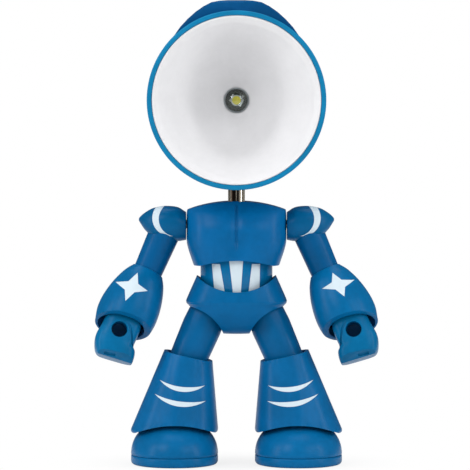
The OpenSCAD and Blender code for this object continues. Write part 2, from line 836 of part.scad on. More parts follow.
module gauntlet(side) {
    cavity_top = bulkhead_top + bulkhead_t;
    color(BLUE) difference() {
        forearm_frame(side) difference() {
            rotate_extrude() polygon(concat([[0, 0]], [for (p = gauntlet_outline) [p[0], -p[1]]],
                [[0, -36.5]]));
            // The room for the elbow clip, and the open end that holds the fist.
            rotate_extrude() polygon([[0, -cavity_top], [8.6, -cavity_top], [10.5, -wrist_top + 2],
                [10.5, -wrist_top], [0, -wrist_top]]);
            rotate_extrude() polygon(concat([[0, -wrist_top - wrist_t]],
                [for (p = gauntlet_outline) if (p[1] > wrist_top + wrist_t)
                    [p[0] - gauntlet_wall, -p[1]]], [[0, -37]]));
            rod(peg_r + run_gap, -wrist_top - wrist_t - 1, -wrist_top + 1);
            // The slanted mouth round the fist, higher at the front and on the outer side.
            translate([0, 0, lip_rise - gauntlet_l]) rotate([-lip_slant, -lip_roll, 0])
                translate([-BIG / 2, -BIG / 2, -BIG]) cube(BIG);
        }
        arm_frame(side) {
            rod(arm_r2 + move_gap, -arm_l - bulkhead_top, -arm_l + 9);
            rod(peg_r + run_gap, -arm_l - cavity_top - 2, -arm_l);
            rod(peg_r + 2 + move_gap, -arm_l - cavity_top - 3, -arm_l - cavity_top);
        }
    }
}

module wrist_clip(side) {
    z = -wrist_top + 0.15;
    color(STEEL) forearm_frame(side) rod(peg_r + 2, z, z + clip_t, peg_r - 0.55);
}

module fist(side) {
    w = fist_w / 2;
    d = fist_d / 2;
    grip_front = -d - 1;
    color(BLUE) forearm_frame(side) difference() {
        union() {
            // Distance from the elbow, half width, half depth, squareness.
            loft([for (p = [[grip_s + 14, w - 2.6, d - 2.4, 3.4], [grip_s + 12.6, w - 1, d - 1, 3.4],
                [grip_s + 8, w, d - 0.2, 3.4], [grip_s + 4, w - 0.3, d, 2.5], [grip_s - 0.5, w - 0.9, d - 0.4, 2.7],
                [grip_s - 5, w - 1.2, d - 0.6, 2.6], [grip_s - 10, w - 3, d - 1.8, 2.4]])
                oval(p[1], p[2], p[3], [0, 0], -p[0])]);
            rod(peg_r, -grip_s + 9, -wrist_top + 2.2);
        }
        rod(BIG, -wrist_top + 0.1, -wrist_top + 0.2 + clip_t, peg_r - 0.6);
        // The grip hole, closed at the back.
        rod_y(grip_r, grip_front, grip_depth - d, 0, -grip_s);
    }
}

// ---- Legs: drawn for the right side ----

leg_tilt = atan2(knee_x - hip_x, hip_z - knee_z);
thigh_l = norm([knee_x - hip_x, hip_z - knee_z]);
thigh_swell = 5;
shin_base = 15;
shin_rim_z = 51;
rim_tilt = 13;
shin_lean = 0.17;
shin_taper = 0.253;
shin_side_taper = 0.2;
arch_r = 24.9;
arch_top = 20.4;
lug_half = 5;
lug_r = 3.4;
// How far the tilted thigh reaches inwards from the knee beside the pin's boss.
knee_reach = (knee_r + 0.2) / cos(leg_tilt) + (knee_pin_r + 1.8) * tan(leg_tilt) + move_gap;

module thigh(side) {
    color(BLUE) on_side(side) difference() {
        translate([-hip_x, 0, hip_z]) rotate([0, leg_tilt, 0]) {
            sphere(r = hip_ball_r);
            translate([0, 0, -thigh_swell])
                cylinder(r1 = thigh_r, r2 = hip_ball_r, h = thigh_swell);
            translate([0, 0, -thigh_l])
                cylinder(r1 = knee_r, r2 = thigh_r, h = thigh_l - thigh_swell);
            translate([0, 0, -thigh_l]) sphere(r = knee_r);
        }
        rod_x(hip_axle_r + run_gap, -axle_reach - 0.2, 0, hip_z);
        rod_x(knee_pin_r + run_gap, -BIG / 2, 0, knee_z);
    }
}

// Half width and half depth of the shin, and the place of its middle, at a height.
function shin_half_w(z) = shin_w / 2 - (z - shin_base - 2) * shin_taper;
function shin_half_d(z) = shin_d / 2 - (z - shin_base - 2) * shin_side_taper;
function shin_mid(z) = -foot_x + 0.15 + (z - shin_base - 2) * shin_lean;

module shin_form(inset = 0) {
    loft([for (z = [shin_base - inset / 4, shin_base + 1.4, shin_base + 12, knee_z - 4, shin_rim_z + 7])
        let (soft = z < shin_base + 0.5 ? 0.8 : 0)
        oval(shin_half_w(z) - soft - inset, shin_half_d(z) - soft - inset, 2.5,
            [shin_mid(z), 0], z)]);
}

module shin(side) {
    color(BLUE) on_side(side) difference() {
        union() {
            difference() {
                shin_form();
                shin_form(body_wall);
            }
            intersection() {
                shin_form(body_wall / 2);
                union() {
                    rod_x(knee_pin_r + 1.8, -knee_x - 30, -knee_x - knee_r - move_gap, knee_z);
                    rod_x(knee_pin_r + 1.8, -knee_x + knee_reach, -knee_x + 30, knee_z);
                    rod_x(ankle_pin_r + 1.5, -foot_x - 30, -foot_x - lug_half - move_gap, ankle_z);
                    rod_x(ankle_pin_r + 1.5, -foot_x + lug_half + move_gap, -foot_x + 30, ankle_z);
                }
            }
        }
        // The slanted rim, the arched instep and the two pin holes.
        translate([shin_mid(shin_rim_z), 0, shin_rim_z]) rotate([0, rim_tilt, 0])
            translate([-BIG / 2, -BIG / 2, 0]) cube(BIG);
        rod_y(arch_r, -BIG / 2, BIG / 2, -foot_x + 0.6, arch_top - arch_r);
        pin_space(knee_pin_r + seam, knee_z);
        pin_space(ankle_pin_r + seam, ankle_z);
    }
}

// A pin across the shin that ends inside its walls.
module pin_space(r, z, spare = 0.1) {
    reach = shin_half_w(z) - body_wall / 2 + spare;
    rod_x(r, shin_mid(z) - reach, shin_mid(z) + reach, z);
}

module knee_pin(side) {
    color(STEEL) on_side(side) pin_space(knee_pin_r, knee_z, 0);
}

module ankle_pin(side) {
    color(STEEL) on_side(side) pin_space(ankle_pin_r, ankle_z, 0);
}

sole_gap = 0.25;
dome_power = 2.2;

// The foot's domed outline; the dome starts at the groove over the sole.
module foot_form(inset = 0) {
    z0 = sole_t + sole_gap;
    h = foot_h - z0 - inset;
    loft([for (u = [0, 0.18, 0.36, 0.52, 0.66, 0.78, 0.88, 0.95, 0.99])
        let (k = sqrt(1 - pow(u, dome_power)))
        oval(k * (foot_w / 2 - inset), k * (foot_l / 2 - inset), 2.1, [-foot_x, 0],
            z0 + u * h - (u == 0 ? min(inset, 0.1) : 0))]);
}

module foot(side) {
    lug_root = foot_h - 4;
    color(BLUE) on_side(side) difference() {
        union() {
            difference() {
                foot_form();
                foot_form(body_wall);
            }
            rod_x(lug_r, -foot_x - lug_half, -foot_x + lug_half, ankle_z);
            translate([-foot_x - lug_half, -lug_r, lug_root])
                cube([2 * lug_half, 2 * lug_r, ankle_z - lug_root]);
        }
        rod_x(ankle_pin_r + run_gap, -BIG / 2, 0, ankle_z);
    }
}

module foot_sole(side) {
    w = foot_w / 2;
    l = foot_l / 2;
    color(BLUE) on_side(side) {
        loft([oval(w - 1.3, l - 1.3, 2.1, [-foot_x, 0], 0), oval(w - 0.4, l - 0.4, 2.1, [-foot_x, 0], 0.5),
            oval(w, l, 2.1, [-foot_x, 0], 1.6), oval(w, l, 2.1, [-foot_x, 0], sole_t)]);
        // The rim that locates the foot's dome.
        translate([0, 0, sole_t - 0.1]) linear_extrude(1.8) difference() {
            polygon([for (p = oval(w - body_wall - 0.5, l - body_wall - 0.5, 2.1, [-foot_x, 0]))
                [p[0], p[1]]]);
            polygon([for (p = oval(w - body_wall - 2, l - body_wall - 2, 2.1, [-foot_x, 0]))
                [p[0], p[1]]]);
        }
    }
}

// ---- The pieces by name ----

shade_shell();
head_crest();
reflector();
led_board();
led_emitter();
led_lens();
lens_retainer();
head_rear_cover();
head_screws();
tilt_pin();
neck_knuckle();
neck_tube();
neck_wires();
neck_stop_ring();
neck_collar();
collar_clip();
chest_front_shell();
chest_rear_shell();
chest_screws();
abdomen_shell();
battery_door();
battery_door_screw();
battery_cells();
battery_contacts();
circuit_board();
switch_body();
switch_knob();
waist_pivot();
waist_clip();
pelvis_front_shell();
pelvis_rear_shell();
pelvis_screws();
hip_axle();
pauldron(-1);  // right_pauldron
shoulder_axle(-1);  // right_shoulder_axle
upper_arm(-1);  // right_upper_arm
elbow_clip(-1);  // right_elbow_clip
gauntlet(-1);  // right_gauntlet
wrist_clip(-1);  // right_wrist_clip
fist(-1);  // right_fist
pauldron(1);  // left_pauldron
shoulder_axle(1);  // left_shoulder_axle
upper_arm(1);  // left_upper_arm
elbow_clip(1);  // left_elbow_clip
gauntlet(1);  // left_gauntlet
wrist_clip(1);  // left_wrist_clip
fist(1);  // left_fist
thigh(-1);  // right_thigh
knee_pin(-1);  // right_knee_pin
shin(-1);  // right_shin
ankle_pin(-1);  // right_ankle_pin
foot(-1);  // right_foot
foot_sole(-1);  // right_foot_sole
thigh(1);  // left_thigh
knee_pin(1);  // left_knee_pin
shin(1);  // left_shin
ankle_pin(1);  // left_ankle_pin
foot(1);  // left_foot
foot_sole(1);  // left_foot_sole
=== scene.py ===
"""Looks of the robot shaped desk lamp: its plastic, chrome and printed pieces, built round the solids.

Sizes are in millimetres. A piece is modelled in its place on the lamp and turned into metres last.
"""

import logging
import math
from collections.abc import Callable, Sequence
from dataclasses import dataclass, field
from enum import Enum

import bpy
from mathutils import Matrix, Vector


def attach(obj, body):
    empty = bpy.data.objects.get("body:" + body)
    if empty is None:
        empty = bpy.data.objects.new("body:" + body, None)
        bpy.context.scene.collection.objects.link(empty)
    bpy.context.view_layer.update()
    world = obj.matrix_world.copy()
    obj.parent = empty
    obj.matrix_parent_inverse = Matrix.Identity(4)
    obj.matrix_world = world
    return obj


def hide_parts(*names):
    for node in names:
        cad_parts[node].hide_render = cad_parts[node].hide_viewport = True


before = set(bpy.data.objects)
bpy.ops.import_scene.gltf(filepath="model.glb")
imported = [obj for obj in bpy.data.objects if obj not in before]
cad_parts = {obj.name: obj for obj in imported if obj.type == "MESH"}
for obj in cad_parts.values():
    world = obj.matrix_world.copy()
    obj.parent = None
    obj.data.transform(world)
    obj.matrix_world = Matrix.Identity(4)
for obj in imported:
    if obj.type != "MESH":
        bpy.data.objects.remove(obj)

log = logging.getLogger("desk_lamp")
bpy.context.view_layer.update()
RGB = tuple[float, float, float]
Point = tuple[float, float]
Point3 = tuple[float, float, float]
Station = tuple[float, ...]
IMAGE_PX = 470
SEAM = 0.03
THROUGH = (-60, 60)
AXLE_R = 2.06
WELL_R = 2.2
LYING = {"X": (90, "Y"), "Y": (-90, "X"), "-Y": (90, "X")}


class Side(Enum):
    """The robot's own right and left."""

    RIGHT = "right"
    LEFT = "left"


class Gloss(Enum):
    """How shiny a moulding is, as its roughness."""

    SATIN = 0.3
    POLISHED = 0.14

    @property
    def shine(self) -> float:
        """Return how strongly the plastic mirrors what is round it."""
        return 0.2 if self is Gloss.POLISHED else 0.09


# ---- Shader values ----


def linear(rgb: RGB) -> tuple[float, float, float, float]:
    """Turn a display colour, 0 to 255, into the linear colour with alpha 1 of a socket."""
    parts = [c / 255 for c in rgb]
    return (*[p / 12.92 if p <= 0.04045 else ((p + 0.055) / 1.055) ** 2.4 for p in parts], 1.0)


class Value:
    """A number in a material that Python's operators combine."""

    def __init__(self, paint: "Paint", socket: bpy.types.NodeSocket) -> None:
        """Hold one output socket of a material's tree."""
        self.paint = paint
        self.socket = socket

    def _math(self, operation: str, *values: "Value | float") -> "Value":
        """Add a Math node that works on these values."""
        node = self.paint.add("ShaderNodeMath", {"operation": operation}, dict(enumerate(values)))
        return Value(self.paint, node.outputs[0])

    def __add__(self, other: "Value | float") -> "Value":
        """Return self + other."""
        return self._math("ADD", self, other)

    def __sub__(self, other: "Value | float") -> "Value":
        """Return self - other."""
        return self._math("SUBTRACT", self, other)

    def __rsub__(self, other: "Value | float") -> "Value":
        """Return other - self."""
        return self._math("SUBTRACT", other, self)

    def __mul__(self, other: "Value | float") -> "Value":
        """Return self * other."""
        return self._math("MULTIPLY", self, other)

    __radd__ = __add__
    __rmul__ = __mul__

    def __abs__(self) -> "Value":
        """Return the size of self."""
        return self._math("ABSOLUTE", self)

    def above(self, edge: "Value | float") -> "Value":
        """Return 1 where self is more than edge, and 0 elsewhere."""
        return self._math("GREATER_THAN", self, edge)

    def most(self, other: "Value | float") -> "Value":
        """Return the larger of the two."""
        return self._math("MAXIMUM", self, other)

    def least(self, other: "Value | float") -> "Value":
        """Return the smaller of the two."""
        return self._math("MINIMUM", self, other)

    def root(self) -> "Value":
        """Return the square root."""
        return self._math("SQRT", self)

    def fraction(self) -> "Value":
        """Return what is left past the last whole number."""
        return self._math("FRACT", self)

    def soft(self, low: float, high: float) -> "Value":
        """Rise smoothly from 0 at low to 1 at high."""
        node = self.paint.add(
            "ShaderNodeMapRange",
            {"interpolation_type": "SMOOTHSTEP"},
            {"Value": self, "From Min": low, "From Max": high},
        )
        return Value(self.paint, node.outputs[0])


class Paint:
    """One material's node tree, with a Principled shader and shorthand for what feeds it."""

    def __init__(self, name: str) -> None:
        """Start an empty material."""
        self.material = bpy.data.materials.new(name)
        self.material.use_nodes = True
        self.tree = self.material.node_tree
        self.tree.nodes.clear()
        self.output = self.add("ShaderNodeOutputMaterial")
        self.shader = self.add("ShaderNodeBsdfPrincipled")
        self.tree.links.new(self.shader.outputs[0], self.output.inputs["Surface"])
        coordinates = self.add("ShaderNodeTexCoord")
        self.place = coordinates.outputs["Object"]
        split = self.add("ShaderNodeSeparateXYZ", {}, {0: self.place})
        self.x, self.y, self.z = (Value(self, split.outputs[i]) * 1000.0 for i in range(3))

    def add(self, kind: str, settings: dict | None = None, inputs: dict | None = None) -> bpy.types.Node:
        """Add a node, set its properties, and fill its sockets by name or number."""
        node = self.tree.nodes.new(kind)
        for key, value in (settings or {}).items():
            if key == "stops":
                ramp = node.color_ramp.elements
                while len(ramp) < len(value):
                    ramp.new(0.5)
                for stop, (at, colour) in zip(ramp, value):
                    stop.position, stop.color = at, colour
            else:
                setattr(node, key, value)
        for key, value in (inputs or {}).items():
            self.feed(node, key, value)
        return node

    def feed(self, node: bpy.types.Node, key: str | int, value: object) -> None:
        """Set or link one socket of a node."""
        value = value.socket if isinstance(value, Value) else value
        if isinstance(value, bpy.types.NodeSocket):
            self.tree.links.new(value, node.inputs[key])
        else:
            node.inputs[key].default_value = value

    def noise(self, per_mm: float, detail: float = 3.0) -> Value:
        """Return cloudy noise, 0 to 1, with so many clouds in a millimetre."""
        sockets = {"Vector": self.place, "Scale": per_mm * 1000.0, "Detail": detail}
        return Value(self, self.add("ShaderNodeTexNoise", {}, sockets).outputs[0])

    def mix(self, share: "Value | float", a: object, b: object) -> bpy.types.NodeSocket:
        """Blend two colours, from a at 0 to b at 1, and return the blended socket."""
        node = self.add("ShaderNodeMix", {"data_type": "RGBA"}, {0: share, 6: a, 7: b})
        return node.outputs[2]

    def surface(self, **sockets: object) -> None:
        """Set the shader's sockets, with a space in a name written as an underscore."""
        for key, value in sockets.items():
            self.feed(self.shader, key.replace("_", " "), value)

    def bump(self, height: Value, depth_mm: float, strength: float = 1.0) -> None:
        """Roughen the surface by a height map, 0 to 1, of so many millimetres."""
        node = self.add(
            "ShaderNodeBump", {}, {"Height": height, "Distance": depth_mm / 1000.0, "Strength": strength}
        )
        self.surface(Normal=node.outputs[0])

    def disc(self, x: float, z: float, radius: float) -> Value:
        """Return how far inside a circle seen from the front a place is, in millimetres."""
        dx, dz = self.x - x, self.z - z
        return radius - (dx * dx + dz * dz).root()


# ---- Prints on the mouldings ----


@dataclass(frozen=True)
class Crescent:
    """A printed crescent: inside one circle and outside another, seen from the front."""

    outer: tuple[float, float, float]
    inner: tuple[float, float, float]

    def depth(self, paint: Paint) -> Value:
        """Return how far inside the print a place is, in millimetres."""
        return paint.disc(*self.outer).least(paint.disc(*self.inner) * -1.0)


@dataclass(frozen=True)
class Star:
    """A printed star with four points, seen from the front: its middle, two points and its waist."""

    middle: Point
    along: Point
    across: Point
    waist: float = 0.3

    def depth(self, paint: Paint) -> Value:
        """Return how far inside the print a place is, in millimetres."""
        (ux, uz), (vx, vz) = self.along, self.across
        area = ux * vz - uz * vx
        dx, dz = paint.x - self.middle[0], paint.z - self.middle[1]
        a = abs(dx * (vz / area) - dz * (vx / area))
        b = abs(dz * (ux / area) - dx * (uz / area))
        side = (1 - self.waist) / self.waist
        scale = math.hypot(ux, uz) / math.hypot(1, side)
        return (1.0 - (a.most(b) + a.least(b) * side)) * scale


@dataclass(frozen=True)
class Stripe:
    """A printed band with straight sides that tapers downwards, seen from the front."""

    top: tuple[float, float, float]
    bottom: tuple[float, float, float]

    def depth(self, paint: Paint) -> Value:
        """Return how far inside the print a place is, in millimetres."""
        (z1, a1, b1), (z0, a0, b0) = self.top, self.bottom
        rise = (paint.z - z0) * (1 / (z1 - z0))
        left = paint.x - (a0 + rise * (a1 - a0))
        right = (b0 + rise * (b1 - b0)) - paint.x
        return left.least(right).least((z1 - paint.z).least(paint.z - z0))


Print = Crescent | Star | Stripe


@dataclass(frozen=True)
class Ink:
    """White ink, with the thin dark edge that the masking leaves round it."""

    colour: RGB = (200, 214, 222)
    edge: RGB = (4, 74, 122)
    edge_mm: float = 0.35

    def apply(self, paint: Paint, base: object, prints: Sequence[Print]) -> tuple[object, Value | float]:
        """Return the base colour with the prints on it, and where the ink lies, 0 to 1."""
        if not prints:
            return base, 0.0
        depth = prints[0].depth(paint)
        for shape in prints[1:]:
            depth = depth.most(shape.depth(paint))
        front = paint.y.soft(0.5, -0.5)
        base = paint.mix(depth.soft(-self.edge_mm, 0.0) * front, base, linear(self.edge))
        inked = depth.soft(-0.06, 0.06) * front
        return paint.mix(inked, base, linear(self.colour)), inked


# ---- Finishes ----


@dataclass(frozen=True)
class Moulding:
    """Moulded plastic: a fine grain, faint flow marks, a soft sheen and any prints."""

    name: str
    colour: RGB
    gloss: Gloss = Gloss.SATIN
    prints: tuple[Print, ...] = ()
    ink: Ink = Ink()
    parting: bool = False
    grain: float = 0.012
    mottle: float = 1.0

    def make(self) -> bpy.types.Material:
        """Build and return the material."""
        paint = Paint(self.name)
        cloud, flow = paint.noise(0.05, 2.0), paint.noise(0.4, 4.0)
        tone = (cloud * 0.7 + flow * 0.3).soft(0.3, 0.7)
        shades = (1 - 0.06 * self.mottle, 1 + 0.05 * self.mottle)
        low, high = (tuple(min(255.0, c * k) for c in self.colour) for k in shades)
        base = paint.mix(tone, linear(low), linear(high))
        base, inked = self.ink.apply(paint, base, self.prints)
        rough = flow * (0.1 * self.mottle) + (self.gloss.value - 0.05 * self.mottle)
        if self.prints:
            rough = rough + inked * 0.06
        height = paint.noise(7.0, 2.0) * self.grain
        if self.prints:
            height = height + inked * 0.02
        if self.parting:
            height = height - abs(paint.y).soft(0.16, 0.04) * 0.1
        paint.surface(Base_Color=base, Roughness=rough, IOR=1.5, Specular_IOR_Level=self.gloss.shine)
        if self.gloss is Gloss.POLISHED:
            paint.surface(Coat_Weight=0.04, Coat_Roughness=0.1)
        paint.bump(height, 1.0)
        return paint.material


@dataclass(frozen=True)
class Metal:
    """Bare or plated metal with fine wear, and any dark reflections painted on it as bands along X."""

    name: str
    colour: RGB
    roughness: float
    brushed: float = 0.0
    reflection_bands: tuple[Point, ...] = ()

    def make(self) -> bpy.types.Material:
        """Build and return the material."""
        paint = Paint(self.name)
        smear, pits = paint.noise(0.3, 3.0), paint.noise(9.0, 2.0)
        worn = tuple(c * 0.88 for c in self.colour)
        base = paint.mix(smear.soft(0.35, 0.75), linear(self.colour), linear(worn))
        # Painted reflection: dark brown bands along X, as the polished tube mirrors its dark surroundings.
        for low, high in self.reflection_bands:
            dark_reflection = (paint.x - low).soft(0.0, 0.3) * (high - paint.x).soft(0.0, 0.3)
            base = paint.mix(dark_reflection, base, linear((46, 38, 32)))
        paint.surface(Base_Color=base, Metallic=1.0)
        paint.surface(Roughness=smear * 0.06 + pits * self.brushed + self.roughness)
        paint.bump(pits, 0.003 + 0.02 * self.brushed)
        return paint.material


@dataclass(frozen=True)
class Board:
    """A circuit board: dark solder mask with concentric rings about an axis along Y, painted lighter as
    highlight and raised a little.
    """

    name: str
    colour: RGB = (50, 58, 40)
    centre: Point = (0.0, 170.9)

    def make(self) -> bpy.types.Material:
        """Build and return the material."""
        paint = Paint(self.name)
        reach = paint.disc(*self.centre, 0.0) * -1.0
        # Painted highlight: concentric rings lighter than the solder mask.
        highlight_rings = abs((reach * 0.5).fraction() - 0.5).soft(0.43, 0.49)
        flecks = paint.noise(1.2, 3.0).soft(0.45, 0.7)
        dark, lit = tuple(c * 0.75 for c in self.colour), tuple(c * 1.5 for c in self.colour)
        base = paint.mix(flecks, linear(self.colour), linear(dark))
        base = paint.mix(highlight_rings * 0.6, base, linear(lit))
        paint.surface(Base_Color=base, Roughness=flecks * 0.15 + 0.25)
        paint.bump(highlight_rings, 0.02)
        return paint.material


@dataclass(frozen=True)
class Clear:
    """Clear moulded plastic of the lens."""

    name: str

    def make(self) -> bpy.types.Material:
        """Build and return the material."""
        paint = Paint(self.name)
        swirl = paint.noise(0.25, 2.0)
        base = paint.mix(swirl, linear((244, 248, 250)), linear((228, 238, 240)))
        paint.surface(Base_Color=base, IOR=1.45, Transmission_Weight=1.0)
        paint.surface(Roughness=swirl * 0.03 + 0.01)
        paint.bump(swirl, 0.02)
        return paint.material


@dataclass(frozen=True)
class Phosphor:
    """The yellow, slightly lit phosphor of the emitter."""

    name: str
    colour: RGB = (222, 205, 70)

    def make(self) -> bpy.types.Material:
        """Build and return the material."""
        paint = Paint(self.name)
        grain = paint.noise(6.0, 3.0).soft(0.35, 0.65)
        low = tuple(c * 0.85 for c in self.colour)
        base = paint.mix(grain, linear(self.colour), linear(low))
        paint.surface(Base_Color=base, Roughness=grain * 0.1 + 0.4)
        paint.surface(Emission_Color=base, Emission_Strength=0.35)
        paint.bump(grain, 0.03)
        return paint.material


# ---- Modelling ----


def deselect() -> None:
    """Leave edit mode and select nothing."""
    if bpy.context.object and bpy.context.object.mode != "OBJECT":
        bpy.ops.object.mode_set(mode="OBJECT")
    bpy.ops.object.select_all(action="DESELECT")


def activate(obj: bpy.types.Object) -> None:
    """Select only this object and make it the active one."""
    deselect()
    obj.select_set(True)
    bpy.context.view_layer.objects.active = obj


def rotation(degrees: float, axis: str) -> Matrix:
    """Return a turn round an axis through the origin."""
    return Matrix.Rotation(math.radians(degrees), 4, axis)


def polar(radius: float, degrees: float) -> Point:
    """Return the point at an angle on a circle."""
    return radius * math.cos(math.radians(degrees)), radius * math.sin(math.radians(degrees))


def trace(outline: Sequence[Point]) -> None:
    """Draw an outline in the XZ plane from one point, and select it all."""
    bpy.ops.mesh.merge(type="CENTER")
    bpy.ops.mesh.select_all(action="SELECT")
    bpy.ops.transform.translate(value=(outline[0][0], 0, outline[0][1]))
    for a, b in zip(outline, outline[1:]):
        bpy.ops.mesh.extrude_region_move(TRANSFORM_OT_translate={"value": (b[0] - a[0], 0, b[1] - a[1])})
    bpy.ops.mesh.select_all(action="SELECT")


class Piece:
    """A mesh on the bench, in millimetres, shaped by operators and then put on the lamp."""

    def __init__(self, name: str, obj: bpy.types.Object | None = None) -> None:
        """Take the object that was just added, or the one given."""
        self.obj = obj or bpy.context.object
        self.obj.name = self.obj.data.name = name

    # -- starting --

    @classmethod
    def box(cls, name: str, low: Sequence[float], high: Sequence[float]) -> "Piece":
        """Add a box between two corners."""
        deselect()
        middle = [(a + b) / 2 for a, b in zip(low, high)]
        bpy.ops.mesh.primitive_cube_add(size=1, location=middle, scale=[b - a for a, b in zip(low, high)])
        return cls(name).settle()

    @classmethod
    def rod(cls, name: str, radius: float, low: float, high: float, segments: int = 64) -> "Piece":
        """Add a round rod along Z."""
        deselect()
        bpy.ops.mesh.primitive_cylinder_add(
            vertices=segments, radius=radius, depth=high - low, location=(0, 0, (low + high) / 2)
        )
        return cls(name).settle()

    @classmethod
    def bar(
        cls, name: str, radius: float, span: Point, segments: int, along: str, at: Point3 = (0, 0, 0)
    ) -> "Piece":
        """Add a round rod that lies along X, along Y, or along -Y, and move it."""
        degrees, axis = LYING[along]
        return cls.rod(name, radius, *span, segments).turn(degrees, axis).move(*at)

    @classmethod
    def arc(cls, name: str, radius: float, segments: int, x: float, z: float) -> "Piece":
        """Add a wide round cutter along Y, seen from the front at x and z."""
        return cls.bar(name, radius, THROUGH, segments, "-Y", (x, 0, z))

    @classmethod
    def strut(cls, name: str, start: Point3, end: Point3, radius: float) -> "Piece":
        """Add a round rod from one point to another, a little longer than the way between."""
        way = Vector(end) - Vector(start)
        rod = cls.rod(name, radius, -radius / 2, way.length + radius / 2, 20)
        turn = Vector((0, 0, 1)).rotation_difference(way).to_matrix().to_4x4()
        return rod.place(Matrix.Translation(start) @ turn)

    @classmethod
    def loft(cls, name: str, stations: Sequence[Station], square: float = 2.5, arc: int = 16) -> "Piece":
        """Draw a skin through superellipses by extruding one section upwards.

        Args:
            name: The piece's name.
            stations: Height, half width, half depth and, where it moves, the middle's x and y.
            square: The section's exponent: 2 is round, more is squarer.
            arc: Faces round a quarter of the section.

        Returns:
            The closed skin.
        """
        deselect()
        bpy.ops.mesh.primitive_plane_add(size=2)
        piece = cls(name)
        with piece.editing():
            profile = math.exp(-2 * math.log(2) / square)
            bpy.ops.mesh.bevel(
                offset=0.99999, segments=arc, profile=profile, affect="VERTICES", clamp_overlap=False
            )
            bpy.ops.mesh.remove_doubles(threshold=0.0005)
            bpy.ops.mesh.select_all(action="SELECT")
            last = (0.0, 1.0, 1.0, 0.0, 0.0)
            for i, station in enumerate(stations):
                now = (*station, 0.0, 0.0)[:5]
                if i:
                    bpy.ops.mesh.extrude_region_move()
                move = (now[3] - last[3], now[4] - last[4], now[0] - last[0])
                bpy.ops.transform.translate(value=move)
                bpy.ops.transform.resize(
                    value=(now[1] / last[1], now[2] / last[2], 1), center_override=(now[3], now[4], now[0])
                )
                last = now
            bpy.ops.mesh.select_all(action="SELECT")
            bpy.ops.mesh.normals_make_consistent(inside=False)
        return piece

    @classmethod
    def dot(cls, name: str) -> "Piece":
        """Add a plane that trace() shrinks to its first point."""
        deselect()
        bpy.ops.mesh.primitive_plane_add(size=1)
        return cls(name)

    @classmethod
    def turned(cls, name: str, profile: Sequence[Point], steps: int = 96) -> "Piece":
        """Turn a closed profile of radius and height round the Z axis, as on a lathe."""
        piece = cls.dot(name)
        with piece.editing():
            trace(profile)
            if profile[0][0] > 0 or profile[-1][0] > 0:
                bpy.ops.mesh.edge_face_add()
                bpy.ops.mesh.delete(type="ONLY_FACE")
                bpy.ops.mesh.select_all(action="SELECT")
            bpy.ops.mesh.spin(steps=steps, angle=2 * math.pi, center=(0, 0, 0), axis=(0, 0, 1))
            bpy.ops.mesh.select_all(action="SELECT")
            bpy.ops.mesh.remove_doubles(threshold=0.0005)
            bpy.ops.mesh.select_all(action="SELECT")
            bpy.ops.mesh.normals_make_consistent(inside=False)
        return piece

    @classmethod
    def plate(cls, name: str, outline: Sequence[Point], thickness: float) -> "Piece":
        """Draw an outline in the XZ plane point by point, fill it and extrude it along Y."""
        piece = cls.dot(name)
        with piece.editing():
            trace(outline)
            bpy.ops.mesh.edge_face_add()
            bpy.ops.mesh.extrude_region_move(TRANSFORM_OT_translate={"value": (0, thickness, 0)})
            bpy.ops.mesh.select_all(action="SELECT")
            bpy.ops.mesh.normals_make_consistent(inside=False)
        return piece

    # -- shaping --

    def editing(self) -> "Editing":
        """Return a context in which the piece is in edit mode with everything selected."""
        return Editing(self.obj)

    def settle(self) -> "Piece":
        """Put the object's place, turn and size into its mesh."""
        self.obj.data.transform(self.obj.matrix_basis)
        self.obj.matrix_basis = Matrix.Identity(4)
        return self

    def place(self, matrix: Matrix) -> "Piece":
        """Move the mesh by a matrix."""
        self.obj.data.transform(matrix)
        return self

    def move(self, x: float, y: float, z: float) -> "Piece":
        """Move the mesh by a distance."""
        return self.place(Matrix.Translation((x, y, z)))

    def turn(self, degrees: float, axis: str) -> "Piece":
        """Turn the mesh round an axis through the origin."""
        return self.place(rotation(degrees, axis))

    def select(self, pick: Callable[[Vector], bool]) -> int:
        """Select the vertices whose place passes a test, and count them."""
        bpy.ops.object.mode_set(mode="OBJECT")
        mesh = self.obj.data
        mesh.polygons.foreach_set("select", [False] * len(mesh.polygons))
        mesh.edges.foreach_set("select", [False] * len(mesh.edges))
        found = [pick(v.co) for v in mesh.vertices]
        mesh.vertices.foreach_set("select", found)
        bpy.ops.object.mode_set(mode="EDIT")
        return sum(found)

    def pull(self, pick: Callable[[Vector], bool], by: Sequence[float], reach: float) -> "Piece":
        """Move the picked vertices by a distance, and those within reach by less."""
        with self.editing():
            bpy.context.tool_settings.mesh_select_mode = (True, False, False)
            if self.select(pick):
                bpy.ops.transform.translate(
                    value=by,
                    use_proportional_edit=True,
                    proportional_edit_falloff="SMOOTH",
                    proportional_size=reach,
                )
        return self

    def slice(self, point: Sequence[float], normal: Sequence[float]) -> "Piece":
        """Cut off what lies beyond a plane on its normal's side, and close the cut."""
        with self.editing():
            bpy.ops.mesh.bisect(plane_co=point, plane_no=normal, use_fill=True, clear_outer=True)
        return self

    def apply(self, kind: str, **settings: object) -> "Piece":
        """Add a modifier and apply it at once."""
        activate(self.obj)
        modifier = self.obj.modifiers.new(kind.title(), kind)
        for key, value in settings.items():
            setattr(modifier, key, value)
        bpy.ops.object.modifier_apply(modifier=modifier.name)
        return self

    def _combine(self, operation: str, others: Sequence["Piece"]) -> "Piece":
        """Run a boolean with each of the others and clear them away."""
        for other in others:
            self.apply("BOOLEAN", operation=operation, object=other.obj, solver="EXACT")
            bpy.data.objects.remove(other.obj)
        return self

    def cut(self, *cutters: "Piece") -> "Piece":
        """Cut the others' shapes out."""
        return self._combine("DIFFERENCE", cutters)

    def join(self, *parts: "Piece") -> "Piece":
        """Fuse the others on."""
        return self._combine("UNION", parts)

    def keep(self, *parts: "Piece") -> "Piece":
        """Keep only what lies inside the others."""
        return self._combine("INTERSECT", parts)

